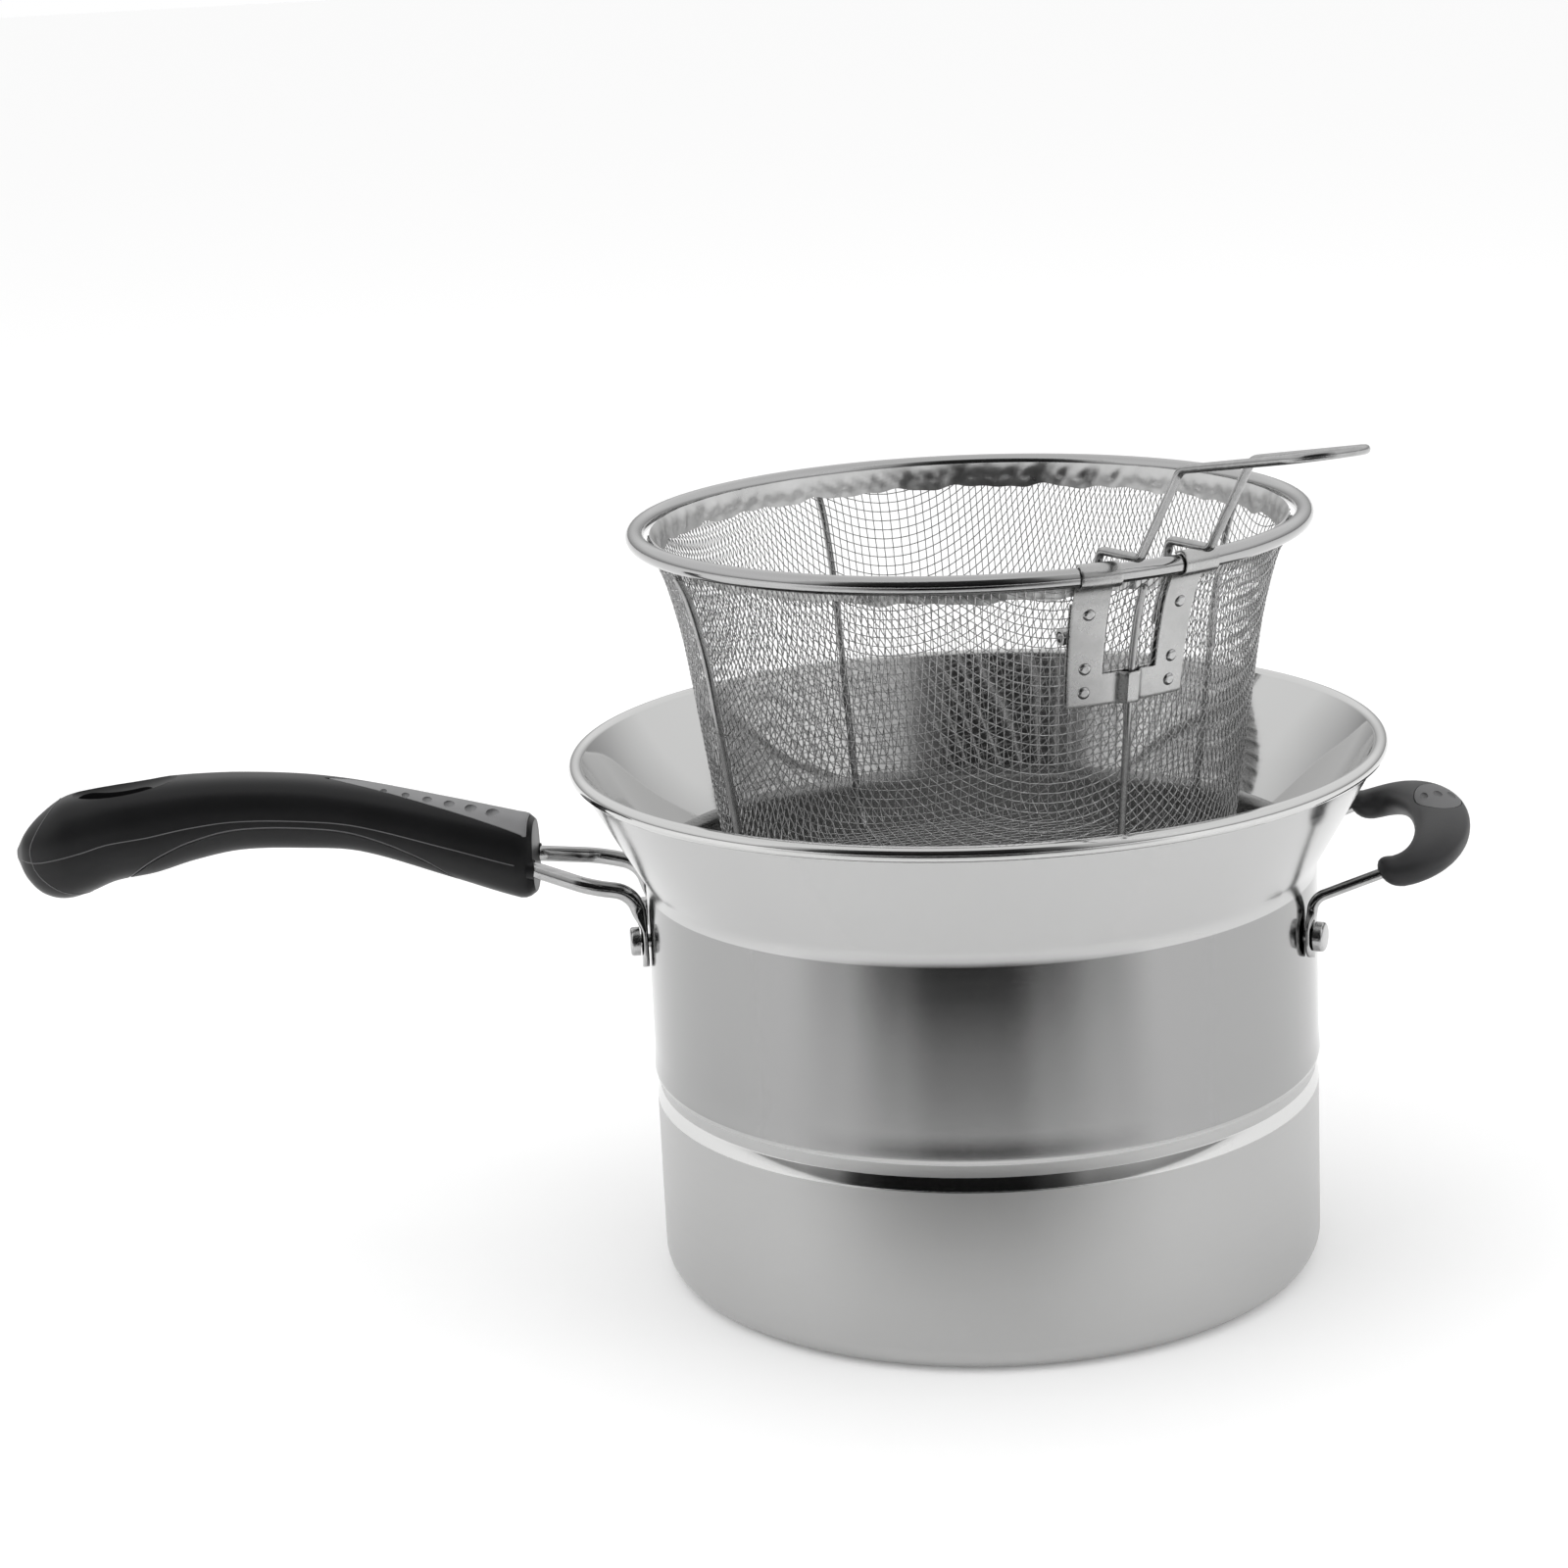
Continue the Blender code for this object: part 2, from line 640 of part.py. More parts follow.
def make_long_handle():
    """Grip, top inlay, finger pad, and two rods with their pads and rivets."""
    grip = grip_solid(0.0)
    hole_x = grip_axis_x(HANG_HOLE_SHARE)
    straight = (HANG_HOLE_LENGTH - HANG_HOLE_WIDTH) / 2.0
    slot = arc((straight, 0.0), HANG_HOLE_WIDTH / 2.0, -90.0, 90.0, 6)
    slot += arc((-straight, 0.0), HANG_HOLE_WIDTH / 2.0, 90.0, 270.0, 6)
    at_hole = Matrix.Translation((hole_x, 0.0, grip_middle(HANG_HOLE_SHARE)))
    slot_cutter = plate(slot, GRIP_HEIGHT * 2.0, at_hole)
    boolean(grip, add_cutter(slot_cutter, "hang_hole_cutter"), "DIFFERENCE")

    crown = grip_middle(INLAY_END_SHARE) + GRIP_HEIGHT
    face = moulding("long_grip_inlay", GREY, 0.55)
    inlay_and_pocket(
        "long_grip_inlay",
        grip_solid,
        inlay_outline,
        Matrix.Translation((0.0, 0.0, crown)),
        GRIP_HEIGHT * 2.0,
        INLAY_DEPTH,
        grip,
        face,
    )
    side_on = Matrix.Rotation(math.pi / 2.0, 4, "X")
    inlay_and_pocket(
        "long_grip_finger_pad",
        grip_solid,
        underside_outline,
        side_on,
        GRIP_WIDTH * 2.0,
        INLAY_DEPTH,
        grip,
        moulding("long_grip_finger_pad", BLACK, 0.62),
    )

    mouth_x = grip_axis_x(0.0)
    mouth_z = grip_middle(0.0) - GRIP_HEIGHT * 0.08
    for side_name, side in (("front", -1.0), ("rear", 1.0)):
        azimuth, height = LONG_PADS[side_name]
        out = Vector((math.cos(azimuth), math.sin(azimuth), 0.0))
        wall = BODY_RADIUS + GAP + ROD_RADIUS
        up = Vector((0.0, 0.0, 1.0))
        pad_top = PAD_LENGTH * (1.0 - PAD_FOOT_SHARE)
        slope = (grip_middle(INLAY_START_SHARE * 5.0) - grip_middle(0.0)) / (
            GRIP_LENGTH * INLAY_START_SHARE * 5.0
        )
        inner = Vector(
            (mouth_x - ROD_SOCKET_DEPTH, side * ROD_SPREAD / 2.0, mouth_z + ROD_SOCKET_DEPTH * slope * 0.5)
        )
        mouth = Vector((mouth_x, side * ROD_SPREAD / 2.0, mouth_z))
        points = [
            out * wall + up * (height + pad_top - PAD_WIDTH * 0.35),
            out * wall + up * (height + pad_top + ROD_RADIUS * 2.0),
            out * (wall + GRIP_REACH * 0.42) + up * (mouth_z * 0.45 + (height + pad_top) * 0.55 + ROD_RADIUS),
            mouth,
            inner,
        ]
        hole = rivet_hole("long_rivet_hole_" + side_name, azimuth, height)
        name = "long_handle_rod_" + side_name
        bends = (ROD_BEND_RADIUS, ROD_BEND_RADIUS * 2.0, ROD_BEND_RADIUS)
        pot_wire(name, points, ROD_RADIUS, bends, azimuth, height, PAD_LENGTH, hole)
        boolean(POT, hole, "DIFFERENCE")
        make_rivet("long_handle_rivet_" + side_name, azimuth, height)
        along = (inner - mouth).normalized()
        socket = tube([mouth - along * OVERRUN, mouth, inner + along * GAP], ROD_RADIUS + GAP)
        boolean(grip, add_cutter(socket, "rod_socket_" + side_name), "DIFFERENCE")
    return add_part(applied(grip), "long_handle_grip", moulding("long_handle_grip", BLACK))


def helper_stations():
    """Centre, way along, half width and half thickness of each ring of the helper grip."""
    end_x = BODY_RADIUS + HELPER_REACH
    end_z = NECK_HEIGHT + HELPER_RISE
    half_span = HELPER_SPAN / 2.0
    stations = []
    for step in range(HELPER_STEPS + 1):
        angle = math.pi * (step / HELPER_STEPS - 0.5)
        bow = math.cos(angle)
        reach, tilt = HELPER_BOW * bow, HELPER_TILT * bow
        point = Vector((end_x + reach, half_span * math.sin(angle), end_z + tilt))
        turn = math.sin(angle)
        along = Vector((-HELPER_BOW * turn, half_span * bow, -HELPER_TILT * turn)).normalized()
        share = HELPER_END_SHARE + (1.0 - HELPER_END_SHARE) * bow
        width = HELPER_WIDTH / 2.0 * share
        thickness = HELPER_THICKNESS / 2.0 * (1.0 + share) / 2.0
        stations.append((point, along, width, thickness))
    tips = []
    for point, along, width, thickness in (stations[0], stations[-1]):
        tip = []
        for share, size in HELPER_TIP_SHARES:
            back = Vector((-HELPER_TIP_LENGTH * share, 0.0, 0.0))
            tip.append((point + back, along, width * size, thickness * size))
        tips.append(tip)
    return list(reversed(tips[0])) + stations + tips[1]


def helper_solid(grow):
    """The helper grip's outer shape, thicker all round by the value given."""
    rings = []
    up = Vector((0.0, 0.0, 1.0))
    for point, along, width, thickness in helper_stations():
        across = along.cross(up).normalized()
        rise = across.cross(along).normalized()
        ring = []
        for i in range(HELPER_RING_POINTS):
            angle = 2.0 * math.pi * i / HELPER_RING_POINTS
            x, z = section(angle, width + grow, thickness + grow, HELPER_SQUARENESS)
            ring.append(point + across * x + rise * z)
        rings.append(ring)
    return loft(rings)


def helper_inlay_outline(shrink):
    """An oval set round the helper grip's middle, in plan."""
    x = BODY_RADIUS + HELPER_REACH + HELPER_BOW
    points = []
    for i in range(HELPER_INLAY_STEPS):
        angle = 2.0 * math.pi * i / HELPER_INLAY_STEPS
        points.append(
            (
                x + (HELPER_INLAY_WIDTH / 2.0 - shrink) * math.cos(angle),
                (HELPER_INLAY_LENGTH / 2.0 - shrink) * math.sin(angle) + HELPER_INLAY_SHIFT,
            )
        )
    return points


def make_helper_handle():
    """Bowed grip, its inlay, and two wire legs with their pads and rivets."""
    grip = helper_solid(0.0)
    top = NECK_HEIGHT + HELPER_RISE + HELPER_TILT + HELPER_THICKNESS
    inlay_and_pocket(
        "helper_grip_inlay",
        helper_solid,
        helper_inlay_outline,
        Matrix.Translation((0.0, 0.0, top)),
        HELPER_THICKNESS * 2.0,
        HELPER_INLAY_DEPTH,
        grip,
        moulding("helper_grip_inlay", GREY, 0.55),
    )
    end_x = BODY_RADIUS + HELPER_REACH
    end_z = NECK_HEIGHT + HELPER_RISE
    for side_name, side in (("front", -1.0), ("rear", 1.0)):
        azimuth, height = HELPER_PADS[side_name]
        out = Vector((math.cos(azimuth), math.sin(azimuth), 0.0))
        up = Vector((0.0, 0.0, 1.0))
        wall = BODY_RADIUS + GAP + HELPER_WIRE_RADIUS
        pad_top = HELPER_PAD_LENGTH * (1.0 - PAD_FOOT_SHARE)
        inner = Vector((end_x + HELPER_SOCKET_DEPTH, side * HELPER_SPAN / 2.0, end_z))
        mouth = Vector((end_x - HELPER_TIP_LENGTH, side * HELPER_SPAN / 2.0, end_z))
        points = [
            out * wall + up * (height + pad_top - PAD_WIDTH * 0.35),
            out * wall + up * (height + pad_top + HELPER_WIRE_RADIUS * 2.0),
            mouth - Vector((HELPER_TIP_LENGTH * 0.5, 0.0, 0.0)),
            inner,
        ]
        hole = rivet_hole("helper_rivet_hole_" + side_name, azimuth, height)
        name = "helper_handle_wire_" + side_name
        bends = (ROD_BEND_RADIUS * 0.6, ROD_BEND_RADIUS * 0.6)
        length = HELPER_PAD_LENGTH
        pot_wire(name, points, HELPER_WIRE_RADIUS, bends, azimuth, height, length, hole)
        boolean(POT, hole, "DIFFERENCE")
        make_rivet("helper_handle_rivet_" + side_name, azimuth, height)
        back = Vector((OVERRUN, 0.0, 0.0))
        ends = [mouth - back, inner + Vector((GAP, 0.0, 0.0))]
        socket = tube(ends, HELPER_WIRE_RADIUS + GAP)
        boolean(grip, add_cutter(socket, "helper_socket_" + side_name), "DIFFERENCE")
    return add_part(applied(grip), "helper_handle_grip", moulding("helper_handle_grip", BLACK))


TAB_RADIUS = BASKET_RIM_TUBE + GAP + BRACKET_SHEET
BASKET_HEIGHT = RIM_HEIGHT + BASKET_RISE
CLOTH_TOP_RADIUS = BASKET_RIM_RADIUS - BASKET_RIM_TUBE - GAP
BRACKET_AZIMUTH = math.radians(BRACKET_AZIMUTH_DEG)


def cloth_radius(drop):
    """The cloth's outer radius at a drop below the rim tube's centre."""
    return CLOTH_TOP_RADIUS * smooth_rows(CLOTH_SHARES, drop / BASKET_DEPTH)[0]


def mesh_drops():
    """Drops of the cloth's level lines: its top band, then each opening's edges and middle."""
    foot = BASKET_DEPTH - CLOTH_CORNER_RADIUS
    pitch = (foot - MESH_TOP_DROP) / MESH_ROWS_DOWN
    drops = [MESH_TOP_DROP * step / TOP_BAND_STEPS for step in range(TOP_BAND_STEPS)]
    for row in range(MESH_ROWS_DOWN):
        top = MESH_TOP_DROP + row * pitch
        drops += [top, top + (pitch - MESH_BAR) / 2.0, top + pitch - MESH_BAR]
    return drops + [foot]


def mesh_azimuths():
    """Azimuths of the cloth's upright lines: each bar's edges, then the opening's middle."""
    pitch = 2.0 * math.pi / MESH_COLUMNS_ROUND
    half_bar = MESH_BAR / 2.0 / BASKET_RIM_RADIUS
    azimuths = []
    for column in range(MESH_COLUMNS_ROUND):
        bar = BRACKET_AZIMUTH + column * pitch
        azimuths += [bar - half_bar, bar + half_bar, bar + pitch / 2.0]
    return azimuths


def is_opening(column, row):
    """Whether a cell between the cloth's lines is open; behind the bracket none is."""
    bar, across = divmod(column, MESH_LINES)
    opening, down = divmod(row - TOP_BAND_STEPS, MESH_LINES)
    if across == 0 or down == MESH_LINES - 1 or not 0 <= opening < MESH_ROWS_DOWN:
        return False
    beside_bracket = bar in (0, MESH_COLUMNS_ROUND - 1)
    return not (beside_bracket and mesh_drops()[row] < BRACKET_DROP)


def cloth_line(offset):
    """The cloth's outside from its top edge to the bottom's centre, moved out by the offset.

    Heights count from the rim tube's centre.
    """
    base = [(cloth_radius(drop), -drop) for drop in mesh_drops()]
    foot = base[-1][0]
    centre = (foot - CLOTH_CORNER_RADIUS, -BASKET_DEPTH + CLOTH_CORNER_RADIUS)
    lean = math.degrees(math.atan2(base[-2][0] - base[-1][0], base[-2][1] - base[-1][1]))
    base = base[:-1]
    corner = arc(centre, CLOTH_CORNER_RADIUS + offset, -lean, -90.0, CORNER_STEPS)
    line = []
    for i, (radius, height) in enumerate(base):
        before = base[max(i - 1, 0)]
        after = base[min(i + 1, len(base) - 1)]
        run = (after[0] - before[0], after[1] - before[1])
        size = math.hypot(*run)
        line.append((radius - run[1] / size * offset, height + run[0] / size * offset))
    line[0] = (base[0][0] + offset, 0.0)
    return line + corner


def raised(points):
    """Profile points lifted from the rim's centre to where the basket hangs."""
    return [(radius, height + BASKET_HEIGHT) for radius, height in points]


def basket_point(around, radius, height):
    """A point at an arc length round the rim from the bracket, measured at the rim's radius."""
    azimuth = BRACKET_AZIMUTH + around / BASKET_RIM_RADIUS
    return Vector(
        (radius * math.cos(azimuth), radius * math.sin(azimuth), BASKET_HEIGHT + height)
    )


def make_rim():
    bpy.ops.mesh.primitive_torus_add(
        major_segments=BASKET_STEPS,
        minor_segments=RIM_TUBE_SIDES,
        major_radius=BASKET_RIM_RADIUS,
        minor_radius=BASKET_RIM_TUBE,
        location=(0.0, 0.0, BASKET_HEIGHT),
    )
    return add_part(bpy.context.object, "basket_rim", steel("basket_rim", 0.2))


def cloth_sheet():
    """The cup without thickness: a grid with its openings deleted, rolled round and floored."""
    rows, azimuths = cloth_line(0.0), mesh_azimuths()
    across, down = len(azimuths), len(rows) - 1
    grid = bmesh.new()
    bmesh.ops.create_grid(grid, x_segments=across, y_segments=down, size=1.0)
    gone = []
    for face in grid.faces:
        middle = face.calc_center_median()
        if is_opening(int((middle.x + 1.0) / 2.0 * across), int((middle.y + 1.0) / 2.0 * down)):
            gone.append(face)
    bmesh.ops.delete(grid, geom=gone, context="FACES")
    for vertex in grid.verts:
        azimuth = azimuths[round((vertex.co.x + 1.0) / 2.0 * across) % across]
        radius, height = rows[round((vertex.co.y + 1.0) / 2.0 * down)]
        vertex.co = (radius * math.cos(azimuth), radius * math.sin(azimuth), BASKET_HEIGHT + height)
    bmesh.ops.remove_doubles(grid, verts=grid.verts, dist=GAP * 0.01)
    lowest = BASKET_HEIGHT - BASKET_DEPTH + GAP * 0.01
    ring = [edge for edge in grid.edges if max(vertex.co.z for vertex in edge.verts) < lowest]
    bmesh.ops.contextual_create(grid, geom=ring)
    bmesh.ops.recalc_face_normals(grid, faces=grid.faces)
    mesh = bpy.data.meshes.new("cloth_sheet")
    grid.to_mesh(mesh)
    grid.free()
    return mesh_object("cloth_sheet", mesh)


def floor_cutter():
    """Square blocks in rows across the cloth's floor, in line with the ribs."""
    reach = cloth_line(0.0)[-1][0] - FLOOR_MARGIN
    half = (FLOOR_PITCH - MESH_BAR) / 2.0
    last = int(reach / FLOOR_PITCH) + 1
    turn = Matrix.Rotation(BRACKET_AZIMUTH, 4, "Z")
    blocks = bmesh.new()
    for i in range(-last, last):
        for j in range(-last, last):
            x, y = (i + 0.5) * FLOOR_PITCH, (j + 0.5) * FLOOR_PITCH
            if math.hypot(abs(x) + half, abs(y) + half) < reach:
                place = Matrix.Translation((x, y, BASKET_HEIGHT - BASKET_DEPTH))
                size = Matrix.Diagonal((half * 2.0, half * 2.0, OVERRUN, 1.0))
                bmesh.ops.create_cube(blocks, size=1.0, matrix=turn @ place @ size)
    mesh = bpy.data.meshes.new("cloth_floor_openings")
    blocks.to_mesh(mesh)
    blocks.free()
    return add_cutter(mesh_object("cloth_floor_openings", mesh), "cloth_floor_openings")


def make_cloth():
    """The woven wire cup, as a thin sheet with a plain grid of openings."""
    cloth = cloth_sheet()
    solidify = cloth.modifiers.new("thickness", "SOLIDIFY")
    solidify.thickness = CLOTH_THICKNESS
    solidify.offset = -1.0
    solidify.use_even_offset = True
    boolean(cloth, floor_cutter(), "DIFFERENCE")
    for hole in PIN_HOLES:
        boolean(cloth, hole, "DIFFERENCE")
    return add_part(applied(cloth), "basket_wire_cloth", steel("basket_wire_cloth", 0.35))


def make_collar():
    """The sheet collar folded over the cloth's top edge, inside the rim tube."""
    reach = BASKET_RIM_RADIUS - BASKET_RIM_TUBE
    under = GAP
    top = under + COLLAR_SHEET
    drops = [COLLAR_DROP * share for share in (0.0, 0.35, 0.7, 1.0)]
    face = [cloth_radius(drop) - CLOTH_THICKNESS - GAP for drop in drops]
    outside = [(reach - GAP, top), (reach - GAP, under), (face[0], under)]
    outside += [(radius, -drop) for radius, drop in zip(face[1:], drops[1:])]
    inside = [(radius - COLLAR_SHEET, -drop) for radius, drop in zip(face, drops)]
    profile = outside + list(reversed(inside[1:])) + [(inside[0][0], top)]
    collar = turned(raised(profile), BASKET_STEPS, True)
    return add_part(collar, "basket_rim_collar", steel("basket_rim_collar", 0.2))


def make_rib(name, turn, extra_drop):
    """A wire from rim to rim under the bottom; the lower of the two drops by the extra."""
    offset = GAP + RIB_RADIUS
    line = cloth_line(offset)
    edge = line[0][0] + RIB_RADIUS
    reach = max(BASKET_RIM_RADIUS - edge, 0.0)
    drop = math.sqrt((BASKET_RIM_TUBE + GAP) ** 2 - min(reach, BASKET_RIM_TUBE) ** 2)
    start = (cloth_radius(drop) + offset, -drop - RIB_RADIUS * 0.3)
    wall = [start] + [point for point in line if point[1] < start[1] - RIB_RADIUS]
    side = []
    for i, (radius, height) in enumerate(wall):
        past = max(i - (len(wall) - 1 - CORNER_STEPS), 0) / CORNER_STEPS
        side.append((radius, height - extra_drop * past))
    azimuth = BRACKET_AZIMUTH + turn
    across = Vector((math.cos(azimuth), math.sin(azimuth), 0.0))
    up = Vector((0.0, 0.0, 1.0))
    points = [across * radius + up * (BASKET_HEIGHT + height) for radius, height in side]
    points += [across * -radius + up * (BASKET_HEIGHT + height) for radius, height in reversed(side)]
    return add_part(tube(points, RIB_RADIUS), name, steel(name, 0.3))


def sheet_on_rim(columns, rows, keep):
    """A thin sheet round the basket: its columns are arc lengths from its middle.

    Each row gives the sheet's radius, its height, and how far its middle channel stands out.
    The keep function says which cells stay, by the arc length and row number of their middle.
    """
    grid = bmesh.new()
    across, up = len(columns) - 1, len(rows) - 1
    bmesh.ops.create_grid(grid, x_segments=across, y_segments=up, size=1.0)
    gone = []
    for face in grid.faces:
        middle = face.calc_center_median()
        column = int((middle.x + 1.0) / 2.0 * across)
        row = int((middle.y + 1.0) / 2.0 * up)
        if not keep((columns[column] + columns[column + 1]) / 2.0, row):
            gone.append(face)
    bmesh.ops.delete(grid, geom=gone, context="FACES")
    for vertex in grid.verts:
        around = columns[round((vertex.co.x + 1.0) / 2.0 * across)]
        radius, height, channel = rows[round((vertex.co.y + 1.0) / 2.0 * up)]
        share = max(1.0 - abs(around) / CHANNEL_HALF_WIDTH, 0.0)
        swell = CHANNEL_STEEPNESS * math.sin(share * math.pi / 2.0) ** 2
        vertex.co = basket_point(around, radius + channel * min(swell, 1.0), height)
    mesh = bpy.data.meshes.new("sheet")
    grid.to_mesh(mesh)
    grid.free()
    obj = mesh_object("sheet", mesh)
    solidify = obj.modifiers.new("thickness", "SOLIDIFY")
    solidify.thickness = BRACKET_SHEET
    solidify.offset = 0.0
    solidify.use_even_offset = True
    return applied(obj)


def bracket_columns():
    half = BRACKET_WIDTH / 2.0
    inner = half - BRACKET_LEG_WIDTH
    channel = [CHANNEL_HALF_WIDTH * share for share in CHANNEL_SHARES]
    right = [*reversed(channel), inner, half - BRACKET_LEG_WIDTH / 2.0, half]
    return [-value for value in reversed(right)] + right


def bracket_rows(side):
    """Rows up the sheet, outside the cloth for a side of 1 and inside it for -1."""
    drops = [BRACKET_DROP, BRACKET_DROP - BRACKET_BAR_HEIGHT / 2.0, BRACKET_DROP - BRACKET_BAR_HEIGHT]
    top = TAB_FOOT_DROP if side > 0.0 else BACKING_TOP_DROP
    for step in range(1, BRACKET_LEG_STEPS + 1):
        drops.append(drops[2] + (top - drops[2]) * step / BRACKET_LEG_STEPS)
    rows = []
    for index, drop in enumerate(drops):
        if side > 0.0:
            radius = cloth_radius(drop) + GAP + BRACKET_SHEET / 2.0
            rows.append((radius, -drop, 2.0 * RIB_RADIUS + GAP if index < 3 else 0.0))
        else:
            radius = cloth_radius(drop) - CLOTH_THICKNESS - BACKING_GAP - BRACKET_SHEET / 2.0
            rows.append((radius, -drop, 0.0))
    if side > 0.0:
        middle = BASKET_RIM_TUBE + GAP + BRACKET_SHEET / 2.0
        wrap = arc((BASKET_RIM_RADIUS, 0.0), middle, TAB_START_DEG, TAB_END_DEG, TAB_STEPS)
        rows += [(radius, height, 0.0) for radius, height in wrap]
    return rows


def keep_bracket_cell(around, row):
    """The bar is whole, and above it only the two legs stay."""
    return row < 2 or abs(around) > BRACKET_WIDTH / 2.0 - BRACKET_LEG_WIDTH


def make_bracket():
    sheet = sheet_on_rim(bracket_columns(), bracket_rows(1.0), keep_bracket_cell)
    for hole in PIN_HOLES:
        boolean(sheet, hole, "DIFFERENCE")
    return add_part(applied(sheet), "handle_bracket", steel("handle_bracket", 0.25))


def pin_frames():
    """A frame for each pin, on the bracket's outer face and square to it."""
    frames = []
    for sign in (-1.0, 1.0):
        azimuth = BRACKET_AZIMUTH + sign * (BRACKET_WIDTH - BRACKET_LEG_WIDTH) / 2.0 / BASKET_RIM_RADIUS
        for drop in PIN_DROPS:
            step = PIN_HEAD_RADIUS
            lean = math.atan2(cloth_radius(drop - step) - cloth_radius(drop + step), 2.0 * step)
            face = cloth_radius(drop) + GAP + BRACKET_SHEET
            frames.append(radial_frame(azimuth, face, BASKET_HEIGHT - drop, lean))
    return frames


def pin_stack():
    """Thickness of the two plates and the cloth, with the clearances between them."""
    return 2.0 * BRACKET_SHEET + CLOTH_THICKNESS + GAP + BACKING_GAP


def make_pin_holes():
    holes = []
    for number, frame in enumerate(pin_frames()):
        middle = frame @ Matrix.Translation((0.0, 0.0, -pin_stack() / 2.0))
        hole = cylinder(PIN_RADIUS + GAP, pin_stack() + OVERRUN, middle, PIN_STEPS)
        holes.append(add_cutter(hole, "pin_hole_%d" % number))
    return holes


def make_pins():
    """Six small rivets, each through both plates and the cloth."""
    grip = pin_stack() + 2.0 * GAP
    face = PIN_HEAD_RADIUS
    points = [
        (0.0, GAP + PIN_HEAD_HEIGHT),
        (face * PIN_TOP_SHARE, GAP + PIN_HEAD_HEIGHT),
        (face, GAP),
        (PIN_RADIUS, GAP),
        (PIN_RADIUS, GAP - grip),
        (face, GAP - grip),
        (face * PIN_TOP_SHARE, GAP - grip - PIN_HEAD_HEIGHT),
        (0.0, GAP - grip - PIN_HEAD_HEIGHT),
    ]
    pins = []
    for number, frame in enumerate(pin_frames()):
        pin = turned(points, PIN_STEPS, False)
        pin.matrix_world = frame
        name = "bracket_rivet_%d" % (number + 1)
        pins.append(add_part(pin, name, steel(name, 0.3)))
    return pins


# Where the basket handle turns: the barrels' outer ends meet the curved backing plate
BARREL_START = ARM_SPREAD / 2.0 + HANDLE_WIRE_RADIUS + GAP
BARREL_MIDDLE = BARREL_START + BARREL_LENGTH / 2.0
BACKING_GAP = GAP * 1.3
BACKING_FACE = cloth_radius(HINGE_DROP) - CLOTH_THICKNESS - BACKING_GAP - BRACKET_SHEET
HINGE_RADIUS = (
    math.sqrt(BACKING_FACE**2 - (BARREL_START + BARREL_LENGTH) ** 2) - BARREL_RADIUS + BARREL_BITE
)


def hinge_point(along, out, height):
    """A point in the bracket's own straight axes: along the hinge, out from the axis, and up."""
    outward = Vector((math.cos(BRACKET_AZIMUTH), math.sin(BRACKET_AZIMUTH), 0.0))
    around = Vector((-math.sin(BRACKET_AZIMUTH), math.cos(BRACKET_AZIMUTH), 0.0))
    return around * along + outward * out + Vector((0.0, 0.0, BASKET_HEIGHT + height))


def make_backing():
    """The inner plate, with a barrel on each leg for the handle's hooked ends."""
    sheet = sheet_on_rim(bracket_columns(), bracket_rows(-1.0), keep_bracket_cell)
    level = radial_frame(BRACKET_AZIMUTH, 0.0, 0.0).to_3x3() @ Matrix.Rotation(math.pi / 2.0, 3, "Y")
    for sign in (-1.0, 1.0):
        middle = hinge_point(sign * BARREL_MIDDLE, HINGE_RADIUS, -HINGE_DROP)
        placement = Matrix.Translation(middle) @ level.to_4x4()
        barrel = cylinder(BARREL_RADIUS, BARREL_LENGTH, placement, BARREL_STEPS)
        boolean(sheet, add_cutter(barrel, "barrel_join"), "UNION")
        bore = cylinder(HANDLE_WIRE_RADIUS + GAP, BARREL_LENGTH + OVERRUN, placement, BARREL_STEPS)
        boolean(sheet, add_cutter(bore, "barrel_bore"), "DIFFERENCE")
    for hole in PIN_HOLES:
        boolean(sheet, hole, "DIFFERENCE")
    return add_part(applied(sheet), "handle_backing_plate", steel("handle_backing_plate", 0.3))


def arm_reach(drop):
    """How far out an arm can stand inside the collar at a drop below the rim's centre."""
    face = cloth_radius(drop) - CLOTH_THICKNESS - COLLAR_SHEET - GAP * 3.0 - HANDLE_WIRE_RADIUS
    return math.sqrt(face**2 - (ARM_SPREAD / 2.0 + HANDLE_WIRE_RADIUS) ** 2)


def make_basket_handle():
    """One wire: a hook in each barrel, two arms over the rim, and a round-ended loop."""
    over = TAB_RADIUS + GAP * 2.0 + HANDLE_WIRE_RADIUS
    aside = ARM_SPREAD / 2.0
    hook = BARREL_START + BARREL_LENGTH + HOOK_OVERHANG
    shoulder = BASKET_RIM_RADIUS + SHOULDER_REACH
    elbow = shoulder + ELBOW_REACH
    arm = [
        (hook, HINGE_RADIUS, -HINGE_DROP),
        (aside, HINGE_RADIUS, -HINGE_DROP),
        (aside, arm_reach(COLLAR_DROP), -COLLAR_DROP),
        (aside, arm_reach(0.0), over),
        (aside, shoulder, over + SHOULDER_RISE),
        (aside, elbow, over + SHOULDER_RISE + ELBOW_RISE),
        (aside, elbow + HANDLE_REACH, over + SHOULDER_RISE + ELBOW_RISE + HANDLE_END_RISE),
    ]
    left = [hinge_point(-along, out, height) for along, out, height in arm]
    right = [hinge_point(along, out, height) for along, out, height in reversed(arm)]
    small = HANDLE_BEND_RADIUS
    bends = [small / 2.0, small * 2.0, small, small, HANDLE_ELBOW_RADIUS, HANDLE_END_RADIUS]
    bends += list(reversed(bends))
    path = bent(left + right, bends)
    return add_part(tube(path, HANDLE_WIRE_RADIUS), "basket_handle", steel("basket_handle", 0.2))


